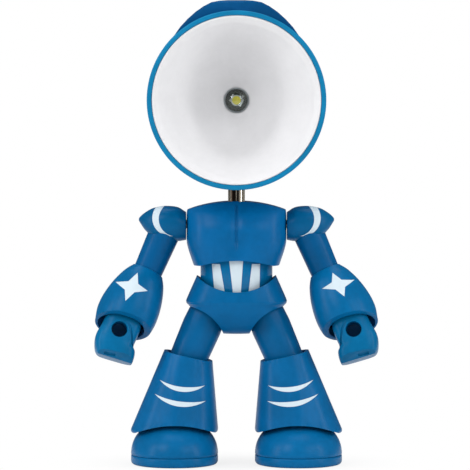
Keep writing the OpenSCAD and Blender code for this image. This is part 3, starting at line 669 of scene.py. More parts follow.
    def ease(self, width: float, segments: int = 2, angle: float = 35.0) -> "Piece":
        """Round the sharp edges, as a mould's corners are."""
        self.merge()
        limit = {"limit_method": "ANGLE", "angle_limit": math.radians(angle), "use_clamp_overlap": True}
        return self.apply("BEVEL", width=width, segments=segments, harden_normals=False, **limit)

    def merge(self, distance: float = 0.002) -> "Piece":
        """Join vertices that lie on each other."""
        with self.editing():
            bpy.ops.mesh.remove_doubles(threshold=distance)
        return self

    def smooth(self, angle: float = 32.0) -> "Piece":
        """Shade smooth where faces meet at a small angle."""
        activate(self.obj)
        bpy.ops.object.shade_smooth_by_angle(angle=math.radians(angle))
        return self

    def copy(self, name: str) -> "Piece":
        """Return a copy with its own mesh."""
        twin = self.obj.copy()
        twin.data = self.obj.data.copy()
        bpy.context.scene.collection.objects.link(twin)
        return Piece(name, twin)

    def halves(self, rear: str) -> tuple["Piece", "Piece"]:
        """Split the piece at the seam into its front and, as a new piece, its rear."""
        back = self.copy(rear).slice((0, SEAM, 0), (0, -1, 0))
        return self.slice((0, -SEAM, 0), (0, 1, 0)), back

    def mirrored(self, name: str) -> "Piece":
        """Return the piece's twin on the lamp's other side."""
        twin = self.copy(name)
        twin.obj.data.transform(Matrix.Scale(-1, 4, (1, 0, 0)))
        twin.obj.data.flip_normals()
        return twin

    # -- finishing --

    def mount(self, body: str, finish: bpy.types.Material, slot: str, *nodes: str) -> "Piece":
        """Turn the mesh into metres, dress it, and let it ride on its body for the nodes."""
        self.place(Matrix.Scale(0.001, 4))
        self.obj.data.materials.clear()
        self.obj.data.materials.append(finish)
        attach(self.obj, body)
        if nodes:
            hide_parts(*nodes)
        log.info("%s: %d faces on %s", self.obj.name, len(self.obj.data.polygons), body)
        return self


class Editing:
    """Edit mode on one object, with everything selected at the start."""

    def __init__(self, obj: bpy.types.Object) -> None:
        """Remember the object."""
        self.obj = obj

    def __enter__(self) -> None:
        """Select only this object and enter edit mode."""
        activate(self.obj)
        bpy.ops.object.mode_set(mode="EDIT")
        bpy.ops.mesh.select_all(action="SELECT")

    def __exit__(self, *error: object) -> None:
        """Go back to object mode."""
        bpy.ops.object.mode_set(mode="OBJECT")


def curve(points: Sequence[Station], steps: int = 6) -> list[Station]:
    """Run a smooth curve through points of rising height, with steps between two."""
    found: list[Station] = []
    for i in range(len(points) - 1):
        a, b = points[i], points[i + 1]
        before, after = points[max(i - 1, 0)], points[min(i + 2, len(points) - 1)]
        for k in range(steps):
            t = k / steps
            found.append(tuple(_blend(p, q, r, s, t) for p, q, r, s in zip(before, a, b, after)))
    return [*found, tuple(points[-1])]


def _blend(p: float, q: float, r: float, s: float, t: float) -> float:
    """Return the place at t between q and r on a smooth curve, with p before and s after."""
    return 0.5 * (
        2 * q + (r - p) * t + (2 * p - 5 * q + 4 * r - s) * t * t + (3 * q - p - 3 * r + s) * t * t * t
    )


# ---- What the makers share ----


@dataclass
class Maker:
    """Builds some of the lamp's pieces in the shared finishes."""

    paints: "Paints" = field(default_factory=lambda: Paints.shared(), kw_only=True)


class Limb(Maker):
    """Builds a right limb and mirrors it for the left."""

    def pair(self, node: str, body: str, piece: Piece, finishes: dict[Side, bpy.types.Material]) -> None:
        """Mount a right piece and its mirrored twin."""
        twin = piece.mirrored(f"{node}_left")
        for side, part in ((Side.RIGHT, piece), (Side.LEFT, twin)):
            part.mount(f"{side.value}_{body}", finishes[side], "blue_plastic", f"{side.value}_{node}")


# ---- The head ----


@dataclass
class Head(Maker):
    """The round shade that is the robot's head, with its reflector, LED, lens and crest."""

    axis_z: float = 170.9
    front_y: float = -30.0
    rim_r: float = 41.6
    rim_t: float = 2.4
    shell_l: float = 57.0
    wall: float = 1.8
    rear_r: float = 19.0
    cover_l: float = 60.0
    lens_r: float = 5.9
    lens_at: float = 36.0
    crest_h: float = 46.9
    tilt_z: float = 134.0

    def upright(self, piece: Piece) -> Piece:
        """Lay a piece that was turned round Z, front down, along the head's axis."""
        return piece.turn(-90, "X").move(0, self.front_y, self.axis_z)

    def fit(
        self, piece: Piece, paint: bpy.types.Material, slot: str, *nodes: str, angle: float = 32.0
    ) -> None:
        """Lay a turned piece along the axis, shade it smooth and mount it."""
        self.upright(piece).smooth(angle).mount("head", paint, slot, *nodes)

    def outside(self, depth: float) -> float:
        """Return the shade's radius at a depth behind the rim."""
        return self.rear_r + (self.rim_r - self.rear_r) * (1 - (depth / self.shell_l) ** 1.3)

    def shade(self) -> None:
        """Turn the shade with its rolled rim, and add the two hinge cheeks under it."""
        lip = self.rim_r - self.rim_t
        depths = [3 + 54 * i / 20 for i in range(21)]
        rim = [(lip + 0.05, 0.5), (lip + 0.25, 0.12), (lip + 0.6, 0.0), (self.rim_r - 0.75, 0.0)]
        rim += [(self.rim_r - 0.35, 0.12), (self.rim_r - 0.12, 0.4), (self.outside(1.6), 1.6)]
        outer = [(self.outside(d), d) for d in depths]
        inner = [(self.outside(d) - self.wall, d) for d in reversed(depths)]
        shade = self.upright(Piece.turned("shade", [*rim, *outer, *inner, (lip + 0.05, 3.0)], 160))
        for side in (-1, 1):
            outline = [*(polar(3.7, 200 + 7 * i) for i in range(21)), (5.6, 8.6), (-5.6, 3.8)]
            cheek = Piece.plate("cheek", outline, 2.8).ease(0.3, 2).turn(90, "Z")
            cheek.move(7.2 if side > 0 else -4.4, 0, self.tilt_z)
            shade.join(cheek)
        shade.smooth(40).mount("head", self.paints.rim, "blue_plastic", "shade_shell")

    def crest(self) -> None:
        """Saw the flat-topped crest and hollow it to sit on the shade."""
        top = self.crest_h - 0.5
        half = [(29, 29.8), (26.2, 33.8), (22.7, 37.6), (19, 40.9), (15.3, 43.5), (11.6, top - 1.0)]
        half += [(7.9, top - 0.3), (4, top)]
        outline = [*half, *((-x, z) for x, z in reversed(half))]
        crest = Piece.plate("crest", [*outline, (0, 12)], 44).move(0, self.front_y + 6, self.axis_z)
        side = [(6, 0), (6, top - 1.2), (6.6, top - 0.3), (8, top + 0.1), (30, top - 2), (50, 30), (50, 0)]
        profile = Piece.plate("profile", [(y, z) for y, z in side], 120)
        profile.turn(90, "Z").move(60, self.front_y, self.axis_z)
        depths = [57 * i / 24 for i in range(25)]
        core = [(0, -2), (self.rim_r + 0.05, -2), *((self.outside(d) + 0.05, d) for d in depths), (0, 57.0)]
        cone = [(0, 0), (top + 1.6, 0), (top + 1.6, 30), (34, 50), (0, 50)]
        crest.keep(profile, self.upright(Piece.turned("cone", cone)))
        crest.cut(self.upright(Piece.turned("core", core, 160)))
        crest.ease(0.5, 3).smooth(36).mount("head", self.paints.crest, "dark_blue_plastic", "head_crest")

    def bowl(self, depth: float) -> float:
        """Return the reflector's inner radius at a depth behind the rim."""
        mouth, hole = self.rim_r - self.rim_t - 3.2, self.lens_r + 0.1
        return hole + (mouth - hole) * (1 - (depth - 2.2) / (self.lens_at - 2.2)) ** 0.82

    def reflector(self) -> None:
        """Turn the white bowl with its lip."""
        lip, hole = self.rim_r - self.rim_t, self.lens_r + 0.1
        front = [(lip - 0.02, 1.5), (lip - 0.02, 0.6), (lip - 0.3, 0.25), (lip - 0.75, 0.25)]
        front += [(lip - 1.2, 0.6)]
        depths = [2.2 + 33.8 * (i / 26) for i in range(27)]
        inner = [(self.bowl(d), d) for d in depths[:-1]] + [(hole, self.lens_at - 0.3)]
        outer = [(self.bowl(d) + 1.4, d + 0.6) for d in reversed(depths[:-1])]
        profile = [*front, (lip - 2.4, 1.7), *inner, (hole, self.lens_at + 0.6), (hole + 1, 36.6), *outer]
        bowl = Piece.turned("reflector_bowl", profile, 160)
        self.fit(bowl, self.paints.reflector, "white_plastic", "reflector", angle=50)

    def light(self) -> None:
        """Build the board, the emitter with its two heat wings, the lens and its retainer."""
        board_at = self.lens_at + 2.4
        disc = [(0, 0), (8.7, 0), (9.0, 0.3), (9.0, 1.6), (0, 1.6)]
        disc = [(r, board_at + d) for r, d in disc]
        self.fit(Piece.turned("led_disc", disc, 96), self.paints.board, "board", "led_board")
        base = Piece.box("emitter_base", (-3.0, -1.8, -0.5), (3.0, 1.8, 0.5))
        base.cut(Piece.box("notch", (-0.35, -3, -1.0), (0.35, -1.2, 1.0)))
        ring = [(2.0, -0.5), (2.0, -0.75), (2.25, -0.85), (2.5, -0.75), (2.6, -0.4), (2.6, 0.3), (2.0, 0.3)]
        base.join(Piece.turned("ring", ring, 48))
        base.turn(28, "Z").move(0, 0, board_at - 0.5).ease(0.12, 2)
        self.fit(base, self.paints.silver, "led", "led_emitter")
        dome = [(0, -0.9), *((2.05 * math.sin(a / 8), -0.3 - 0.6 * math.cos(a / 8)) for a in range(2, 12))]
        glow = Piece.turned("emitter_glow", [*dome, (2.05, 0.1), (0, 0.1)], 48).move(0, 0, board_at - 0.6)
        self.fit(glow, self.paints.phosphor, "led", angle=60)
        bead = [(0, -0.5), (0.35, -0.38), (0.55, -0.1), (0.6, 0.2), (0, 0.2)]
        solder = Piece.turned("solder_bead", bead, 24).move(3.1, -1.9, board_at - 0.1)
        self.fit(solder, self.paints.silver, "led", angle=60)
        self.lens()
        keeper = [(self.lens_r - 0.7, 36.65), (10.2, 36.65), (10.2, 40.0), (9.05, 40.0), (9.05, 38.35)]
        retainer = Piece.turned("lens_keeper", [*keeper, (self.lens_r - 0.7, 38.35)], 96).ease(0.15)
        self.fit(retainer, self.paints.reflector, "white_plastic", "lens_retainer")

    def lens(self) -> None:
        """Turn the clear dome."""
        middle, big, small = self.lens_at + 5.65, self.lens_r * 1.5, self.lens_r * 1.5 - 0.9
        turn = math.asin(self.lens_r / big)
        outer, inner = (
            [(r * math.sin(whole * i / 16), middle - r * math.cos(whole * i / 16)) for i in range(17)]
            for r, whole in ((big, turn), (small, 0.79))
        )
        profile = [*outer, (self.lens_r, 36.5), (inner[-1][0], 36.5), *reversed(inner)]
        self.fit(Piece.turned("lens_dome", profile, 96), self.paints.lens, "lens", "led_lens", angle=50)

    def cover(self) -> None:
        """Turn the rear cover with its stepped face, spigot and three screw wells."""
        r, l = self.rear_r, self.cover_l
        face = [(0, 57.05), (r - 5.2, 57.05), (r - 5.2, 54.0), (r - 1.9, 54.0), (r - 1.9, 57.05), (r, 57.05)]
        face += [(r, 58.6), (r - 0.25, 59.3), (r - 0.9, 59.85), (r - 1.7, l), (13.2, l), (12.8, l - 0.5)]
        face += [(12.2, l - 0.5), (11.8, l), (0, l)]
        cover = Piece.turned("rear_cover", face, 128)
        for turn in (90, 210, 330):
            x, y = polar(9.5, turn)
            cover.join(Piece.rod("boss", 2.4, 40.1, 57.6, 32).move(x, y, 0))
            cover.cut(Piece.rod("well", WELL_R, l - 1.6, l + 1, 48).move(x, y, 0))
            cover.cut(Piece.rod("hole", 1.1, 40, l + 1, 32).move(x, y, 0))
        for i in range(5):
            reach = 5.2 - 0.9 * abs(i - 2)
            cover.cut(Piece.box("vent", (-reach, -4.4 + 2 * i, 57.9), (reach, -3.6 + 2 * i, 61)))
        self.fit(cover.ease(0.18), self.paints.crest, "dark_blue_plastic", "head_rear_cover")

    def build(self) -> None:
        """Build the whole head."""
        self.shade()
        self.crest()
        self.reflector()
        self.light()
        self.cover()
        pin = [(0, -8.0), (1.9, -8.0), (2.2, -7.8), (2.2, -7.2), (1.3, -7.2), (1.3, 7.2), (2.2, 7.2)]
        pin += [(2.2, 7.8), (1.9, 8.0), (0, 8.0)]
        rivet = Piece.turned("tilt_rivet", pin, 48).turn(90, "Y").move(0, 0, self.tilt_z)
        rivet.smooth().mount("head", self.paints.steel, "steel", "tilt_pin")


# ---- The neck ----


@dataclass
class Neck(Maker):
    """The polished tube that slides in its collar, with the hinge knuckle on top."""

    radius: float = 3.95
    wall: float = 0.6
    low: float = 86.0
    high: float = 130.0
    tilt_z: float = 134.0
    collar_top: float = 121.2
    collar_l: float = 8.0

    def build(self) -> None:
        """Build the tube, the knuckle and the collar."""
        r, b = self.radius, self.radius - self.wall
        tube = [(b, self.low + 0.2), (b + 0.2, self.low), (r - 0.2, self.low), (r, self.low + 0.2)]
        tube += [(r, self.high - 0.25), (r - 0.2, self.high), (b + 0.1, self.high), (b, self.high - 0.2)]
        tube = Piece.turned("neck_chrome", tube, 128).smooth()
        tube.mount("neck", self.paints.chrome, "chrome", "neck_tube")
        barrel = [(0, -4), (3.4, -4), (3.7, -3.7), (3.7, 3.7), (3.4, 4), (0, 4)]
        knuckle = Piece.turned("knuckle", barrel, 96).turn(90, "Y").move(0, 0, self.tilt_z)
        knuckle.join(Piece.rod("shank", r - 0.02, self.high + 0.05, self.tilt_z, 96))
        knuckle.join(Piece.rod("spigot", b - 0.05, self.high - 6, self.high + 1, 96))
        bore = Piece.bar("bore", 1.36, (-6, 6), 48, "X", (0, 0, self.tilt_z))
        knuckle.cut(bore).ease(0.15).smooth().mount("neck", self.paints.chrome, "chrome", "neck_knuckle")
        low, top = self.collar_top - self.collar_l, self.collar_top
        collar = [(r + 0.06, low), (r + 2.2, low), (r + 2.2, low + 1)]
        collar += [(r + 1.7, low + 1), (r + 1.7, low + 2.1)]
        collar += [(r + 2.2, low + 2.1), (r + 2.2, top - 1.3), (r + 3.6, top - 1.3)]
        collar += [(r + 3.6, top), (r + 0.06, top)]
        sleeve = Piece.turned("neck_sleeve", collar, 96).ease(0.1)
        sleeve.smooth().mount("neck_collar", self.paints.nylon, "black_plastic", "neck_collar")


# ---- The torso ----


@dataclass
class Torso(Maker):
    """The chest in two half shells, the glossy abdomen, the battery door and the switch."""

    width: float = 46.8
    depth: float = 39.0
    top: float = 123.6
    bottom: float = 93.6
    wall: float = 1.8
    abdomen_r: float = 16.9
    abdomen_low: float = 78.4
    shoulder_z: float = 112.8
    cell_z: float = 104.4
    door_y: float = 17.75
    top_arc: float = 69.0
    low_arc: float = 57.0

    def form(self, inset: float = 0.0) -> Piece:
        """Draw the chest's outside, or its inside when inset by a wall."""
        w, d, low, top = self.width / 2 - inset, self.depth / 2 - inset, self.bottom, self.top
        rough = [(low, w - 3.3, d - 0.6), (low + 3.4, w - 2.1, d - 0.3), (low + 7.4, w - 0.8, d - 0.1)]
        rough += [(low + 11.4, w, d), (top - 11.6, w, d - 0.3), (top - 5.6, w, d - 3)]
        rough += [(top - 2.6, w - 0.8, d - 5.5), (top + 0.5, w - 2.4, d - 8.5)]
        return Piece.loft("chest", curve(rough, 5), 2.85, 32)

    def muscled(self) -> Piece:
        """Press the groove between the pectorals and round them on both sides of it."""
        chest = self.form()
        with chest.editing():
            columns = (-7.0, -4.5, -2.6, -1.3, 0.0, 1.3, 2.6, 4.5, 7.0)
            rows = range(int(self.bottom) + 6, int(self.top), 2)
            cuts = [((x, 0, 0), (1, 0, 0)) for x in columns] + [((0, 0, z), (0, 0, 1)) for z in rows]
            for at, normal in cuts:
                bpy.ops.mesh.select_all(action="SELECT")
                bpy.ops.mesh.bisect(plane_co=at, plane_no=normal)
        chest.pull(lambda v: abs(v.x) < 0.1 and v.y < -6 and v.z > self.bottom + 9, (0, 0.65, 0), 6.5)
        chest.pull(lambda v: abs(v.x) < 0.1 and v.y < -6 and v.z > self.bottom + 11, (0, 0.5, 0), 2.9)
        face = -self.depth / 2
        line = [(0, face - 0.2, self.bottom + 7.6), (0, face + 0.65, self.bottom + 11.4)]
        line += [(0, face + 0.85, self.top - 12), (0, face + 2.95, self.top - 6.8)]
        line += [(0, face + 6.7, self.top - 1.9)]
        chest.cut(*(Piece.strut("groove", a, b, 0.9) for a, b in zip(line, line[1:])))
        return chest

    def chest(self) -> None:
        """Build the two shells from one form, and cut the battery door's room from the rear one."""
        body = self.muscled()
        barrel = Piece.arc("barrel", self.top_arc, 320, 0, self.top - self.top_arc)
        body.keep(barrel)
        arch = Piece.arc("arch", self.low_arc, 320, 0, self.bottom + 2.6 - self.low_arc)
        body.cut(arch)
        room = self.form(self.wall + 0.4).keep(Piece.box("room", (-60, -60, 98.6), (60, 60, 121.6)))
        vault = Piece.arc("vault", self.top_arc - self.wall, 320, 0, self.top - self.top_arc)
        body.cut(room.keep(vault))
        seat = Piece.rod("seat", self.abdomen_r + 0.05, 90, 96.7, 128)
        body.cut(seat, Piece.rod("neck", 15.45, 96, 99, 128))
        body.cut(Piece.rod("neck_hole", 4.35, 110, 130, 96))
        for side in (-1, 1):
            boss = Piece.bar("boss", 4.4, (19.7, 23.4), 48, "X", (0, 0, self.shoulder_z))
            body.join(boss if side > 0 else boss.place(Matrix.Scale(-1, 4, (1, 0, 0))))
        body.cut(Piece.bar("axle_hole", AXLE_R, (-40, 40), 48, "X", (0, 0, self.shoulder_z)))
        body.merge()
        front, rear = body.halves("chest_rear")
        front.ease(0.28, 3, 40).smooth(40)
        front.obj.name = "chest_front"
        front.mount("torso", self.paints.chest, "blue_plastic", "chest_front_shell")
        rear.cut(*self.door_room(0.12))
        for x, z in ((15, self.top - 6.4), (-15, self.top - 6.4), (17, 103.0), (-17, 103.0)):
            rear.cut(Piece.bar("well", WELL_R, (0, 30), 48, "Y", (x, 13, z)))
            rear.join(Piece.bar("post", 2.15, (0.5, 12.6), 32, "Y", (x, 0, z)))
        rear.ease(0.2, 2, 40).smooth(40).mount("torso", self.paints.back, "blue_plastic", "chest_rear_shell")

    def door_room(self, gap: float) -> list[Piece]:
        """Return the blocks that the battery door fills, grown by a gap."""
        low = (-11.8 - gap, self.door_y - gap, self.cell_z - 6.8 - gap)
        plate = Piece.box("door_plate", low, (11.8 + gap, 40, self.cell_z + 6.8 + gap))
        tab = (-3.6 - gap, self.door_y - gap, self.cell_z)
        return [plate, Piece.box("door_tab", tab, (3.6 + gap, 40, self.cell_z + 12.8 + gap))]

    def door(self) -> None:
        """Build the battery door with its grip ribs and screw well."""
        plate, tab = self.door_room(0.0)
        door = self.form().keep(plate.join(tab))
        for z in (99.3, 100.7, 102.1):
            door.cut(Piece.box("rib", (-5, 19.15, z - 0.3), (5, 30, z + 0.3)))
        door.cut(Piece.bar("well", 2.1, (18.3, 30), 48, "Y", (0, 0, 113.6)))
        door.cut(Piece.bar("hole", 1.1, (10, 30), 32, "Y", (0, 0, 113.6)))
        door.obj.name = "door"
        door.ease(0.2, 2, 40).smooth(40).mount("torso", self.paints.back, "blue_plastic", "battery_door")

    def abdomen(self) -> None:
        """Turn the abdomen and cut the switch slot and the notch for the battery bay."""
        r, low = self.abdomen_r, self.abdomen_low
        wall = [(3.06, low), (r - 0.7, low), (r - 0.2, low + 0.2)]
        wall += [(r, low + 0.7), (r, 96.4), (r - 0.2, 96.65)]
        wall += [(15.4, 96.65), (15.4, 98.65), (16.5, 98.65), (16.5, 100.1), (14.5, 100.1), (14.5, low + 1.8)]
        waist = Piece.turned("abdomen", [*wall, (3.06, low + 1.8)], 160)
        waist.cut(Piece.box("notch", (-11.7, 9.0, 96.9), (11.7, 40, 130)))
        waist.cut(Piece.box("slot", (-3.25, 0, 87.6), (3.25, 40, 90.6)))
        waist.ease(0.12).smooth().mount("torso", self.paints.abdomen, "blue_plastic", "abdomen_shell")

    def switch(self) -> None:
        """Build the ribbed slide knob and its black body."""
        knob = Piece.box("switch_slide_knob", (-2.95, 11.9, 87.9), (0.45, 18.3, 90.3))
        for x in (-2.2, -1.25, -0.3):
            knob.cut(Piece.box("rib", (x - 0.2, 17.9, 80), (x + 0.2, 20, 95)))
        knob.ease(0.15).smooth().mount("switch_knob", self.paints.nylon, "black_plastic", "switch_knob")
        body = Piece.box("switch_case", (-5, 9.6, 86.8), (5, 13.2, 91.4))
        body.join(Piece.box("ear", (-7, 10.8, 86.8), (7, 11.8, 91.4)))
        body.cut(Piece.box("slot", (-3.25, 11.6, 87.6), (3.25, 20, 90.6)))
        body.ease(0.12).smooth().mount("torso", self.paints.nylon, "black_plastic", "switch_body")

    def build(self) -> None:
        """Build the whole torso."""
        self.chest()
        self.door()
        self.abdomen()
        self.switch()


# ---- The pelvis ----


@dataclass
class Pelvis(Maker):
    """The hips' two half shells with their dipped rim and leg cuts."""

    width: float = 47.2
    depth: float = 39.6
    hip_x: float = 14.3
    hip_z: float = 69.0
    rim_r: float = 27.9
    wall: float = 1.8
    top: float = 88.6

    def form(self, inset: float = 0.0) -> Piece:
        """Draw the outside, or the inside when inset by a wall."""
        w, d, z = self.width / 2 - inset, self.depth / 2 - inset, self.hip_z
        rough = [(z - 7.4 + inset, w - 15, d - 11), (z - 6.2 + inset / 2, w - 9.5, d - 8.4)]
        rough += [(z - 4.4, w - 6.4, d - 6.2), (z - 2.5, w - 4.6, d - 4.5), (z + 2, w - 2.1, d - 1.5)]
        rough += [(z + 5.2, w - 1.4, d - 0.4), (z + 6.6, w - 0.2, d - 0.12), (z + 7.3, w, d - 0.05)]
        rough += [(z + 9, w - 0.3, d - 0.05), (self.top, w - 5, d - 1)]
        return Piece.loft("pelvis", curve(rough, 4), 2.45, 28)

    def build(self) -> None:
        """Build both shells."""
        body = self.form()
        body.cut(self.form(self.wall))
        web = Piece.box("web", (-2.6, -14, 63.5), (2.6, 14, 77.6)).keep(self.form(self.wall / 2))
        body.join(web)
        body.join(Piece.rod("deck", 6, 75.2, 77.6, 64))
        body.cut(Piece.rod("waist", 17.3, 77.6, 120, 128), Piece.rod("post", 3.05, 75.2, 120, 48))
        body.cut(Piece.arc("rim", self.rim_r, 256, 0, self.hip_z + 40.4))
        for side in (-1, 1):
            leg = Piece.bar("leg_cut", 20.1, THROUGH, 200, "-Y")
            body.cut(leg.move(side * (self.hip_x + 10.6), 0, self.hip_z - 14.5))
            ball = Piece.bar("ball", 9.45, (-4, 4), 64, "X")
            body.cut(ball.move(side * self.hip_x, 0, self.hip_z))
        body.cut(Piece.bar("axle_hole", 2.05, (-40, 40), 48, "X", (0, 0, self.hip_z)))
        body.merge()
        front, rear = body.halves("pelvis_rear")
        for z, deep in ((64.4, 10.1), (73.6, 14.9)):
            rear.cut(Piece.bar("well", WELL_R, (deep, 40), 48, "Y", (0, 0, z)))
        front.obj.name = "pelvis_front"
        for shell, node in ((front, "front"), (rear, "rear")):
            shell.ease(0.35 if node == "front" else 0.2, 3, 40).smooth(40)
            shell.mount("pelvis", self.paints.pelvis, "blue_plastic", f"pelvis_{node}_shell")


# ---- An arm ----


@dataclass
class Arm(Limb):
    """One arm, modelled as the right one: pauldron, upper arm, gauntlet and fist."""

    root: Point = (-32.0, 112.8)
    tilt: float = 23.5
    length: float = 24.2
    pitch: float = 12.0
    top_r: float = 7.4
    low_r: float = 6.8
    gauntlet_r: float = 14.1
    grip_at: float = 31.8
    grip_r: float = 3.75

    def upper(self) -> Matrix:
        """Return the upper arm's frame, which runs down -Z from its root."""
        return Matrix.Translation((self.root[0], 0, self.root[1])) @ rotation(self.tilt, "Y")

    def fore(self) -> Matrix:
        """Return the forearm's frame, which runs down -Z from the gauntlet's mouth."""
        bend = rotation(-self.pitch, "X") @ rotation(2.5, "Y")
        return self.upper() @ Matrix.Translation((0, 0, -self.length)) @ bend

    def pauldron(self) -> Piece:
        """Draw the shoulder guard out to its beak and bore the arm's socket."""
        rough = [(0, 6.5, 8.1, -0.9), (0.8, 6.9, 8.55, -0.75), (4.3, 8.05, 9.4, 0), (10.3, 7.7, 9.2, 0.8)]
        rough += [(15.6, 6.75, 7.6, 0.7), (19.3, 4.1, 4.8, 1.3)]
        rough += [(21.4, 1.7, 2.1, 1.95), (22.2, 0.5, 0.6, 2.1)]
        guard = Piece.loft("pauldron", curve(rough, 6), 2.3, 20)
        guard.turn(-90, "Y").move(-23.7, 0, self.root[1])
        guard.cut(Piece.rod("socket", self.top_r + 0.05, -18, -3, 96).place(self.upper()))
        guard.cut(Piece.bar("axle", 2.05, (30.6 - 60, -20), 48, "X", (-1.2, 0, self.root[1])))
        return guard.ease(0.3, 3, 42).smooth(40)

    def bicep(self) -> Piece:
        """Turn the upper arm with its elbow peg."""
        a, b, l = self.top_r, self.low_r, self.length
        line = [(0, -3.05), (a - 0.3, -3.05), (a, -3.4)]
        line += [(b + 0.02, -l - 0.05), (b, -l - 2.4), (b - 0.2, -l - 2.6)]
        line += [(3, -l - 2.6), (3, -l - 6.8), (2.4, -l - 6.8), (2.4, -l - 7.9), (3, -l - 7.9), (3, -l - 9.2)]
        arm = Piece.turned("upper_arm", [*line, (2.8, -l - 9.4), (0, -l - 9.4)], 96)
        return arm.place(self.upper()).smooth()

    def gauntlet(self) -> Piece:
        """Turn the barrel, hollow it and slant its mouth."""
        r = self.gauntlet_r
        rough = [(0.7, 7.9), (2.2, 8.95), (4.9, 10.4), (9.8, 12.2)]
        rough += [(15, 13.45), (20, r), (24, r), (26.6, r - 0.35)]
        rough += [(28.8, r - 0.95), (31, r - 1.6), (33.6, r - 2.3), (36.5, r - 2.7)]
        outer = [(0, 0), (7.35, 0), (7.65, 0.2)] + [(w, s) for s, w in curve(rough, 5)]
        hollow = [(w, s) for s, w in reversed(curve(rough, 5)) if s > 18.4]
        inner = [(min(w - 1.1, max(10.95, 13 - (s - 22.5))), s) for w, s in hollow]
        wall = [(w, -s) for w, s in [*outer, *inner, (0, 18.0)]]
        barrel = Piece.turned("gauntlet", wall, 128)
        mouth = Piece.box("mouth", (-40, -40, -80), (40, 40, 0)).turn(-20, "X").turn(-10, "Y")
        mouth.move(0, 0, -29.3)
        barrel.cut(mouth).ease(0.7, 5, 40).place(self.fore())
        plug = Piece.rod("plug", self.low_r + 0.4, -self.length - 3.1, -self.length + 9, 96)
        plug.place(self.upper())
        room = Piece.turned("room", [(0, -6.7), (8.6, -6.7), (10.5, -12.5), (10.5, -14.5), (0, -14.5)], 64)
        shaft = Piece.rod("shaft", 3.06, -self.length - 8.7, -self.length, 48).place(self.upper())
        seat = Piece.rod("seat", 5.4, -self.length - 9.7, -self.length - 6.7, 64).place(self.upper())
        barrel.cut(plug, room.place(self.fore()), shaft, seat)
        barrel.cut(Piece.rod("wrist", 3.06, -19, -13, 48).place(self.fore()))
        return barrel.ease(0.12, 2, 40).smooth(36)

    def fist(self) -> Piece:
        """Carve the clenched fist with its grip hole, thumb crease and bevelled underside."""
        s = self.grip_at
        rough = [(-s - 14.2, 7.4, 7.2, 3.2), (-s - 13.8, 8.2, 7.7, 3.1), (-s - 12.8, 9.0, 8.1, 2.9)]
        rough += [(-s - 10.8, 9.8, 8.45, 2.5), (-s - 8.2, 10.2, 8.6, 1.8), (-s - 5.6, 10.0, 8.7, 1.1)]
        rough += [(-s - 3.7, 9.15, 8.7, 0.3)]
        rough += [(-s + 0.5, 8.9, 8.5, 0.35), (-s + 5, 8.65, 8.2, 0.2), (-s + 8.6, 7.6, 7.3, 0.1)]
        hand = Piece.loft("fist", curve([*rough, (-s + 10, 6.4, 6.2, 0.0)], 5), 3.4, 16)
        hand.slice((3.5, 0, -s - 12.9), (0.17, 0, -0.985))
        hand.slice((3, -8.6, -s - 10.0), (0.2, -0.5, -0.84))
        hand.ease(1.1, 5, 26)
        hand.join(Piece.rod("peg", 3, -s + 9, -12.3, 48))
        hand.cut(Piece.turned("peg_groove", [(2.4, -14.4), (6, -14.4), (6, -13.3), (2.4, -13.3)], 48))
        crease = [(2.0, -8.7, -26.6), (4.9, -8.15, -29.6), (6.7, -7.35, -32.4)]
        crease += [(8.0, -6.2, -35.2), (9.8, -3.4, -36.2)]
        hand.cut(*(Piece.strut("crease", a, b, 0.6) for a, b in zip(crease, crease[1:])))
        hand.cut(Piece.bar("grip", self.grip_r, (0, 20), 96, "-Y", (0, 3.2, -s)))
        recess = Piece.box("recess", (-2.7, -1.2, -0.6), (2.7, 1.2, 0.9)).ease(0.4, 3)
        hand.cut(recess.turn(149, "X").turn(-13, "Y").move(1.0, -5.7, -s - 12.0))
        return hand.place(self.fore()).ease(0.22, 2, 45).smooth(40)

    def build(self) -> None:
        """Build the right arm and mirror each piece for the left."""
        pieces = {
            "pauldron": (self.pauldron(), "arm", self.paints.pauldrons),
            "upper_arm": (self.bicep(), "arm", self.paints.bare_arms),
            "gauntlet": (self.gauntlet(), "forearm", self.paints.gauntlets),
            "fist": (self.fist(), "hand", self.paints.fists),
        }
        for node, (piece, body, finishes) in pieces.items():
            self.pair(node, body, piece, finishes)


# ---- A leg ----


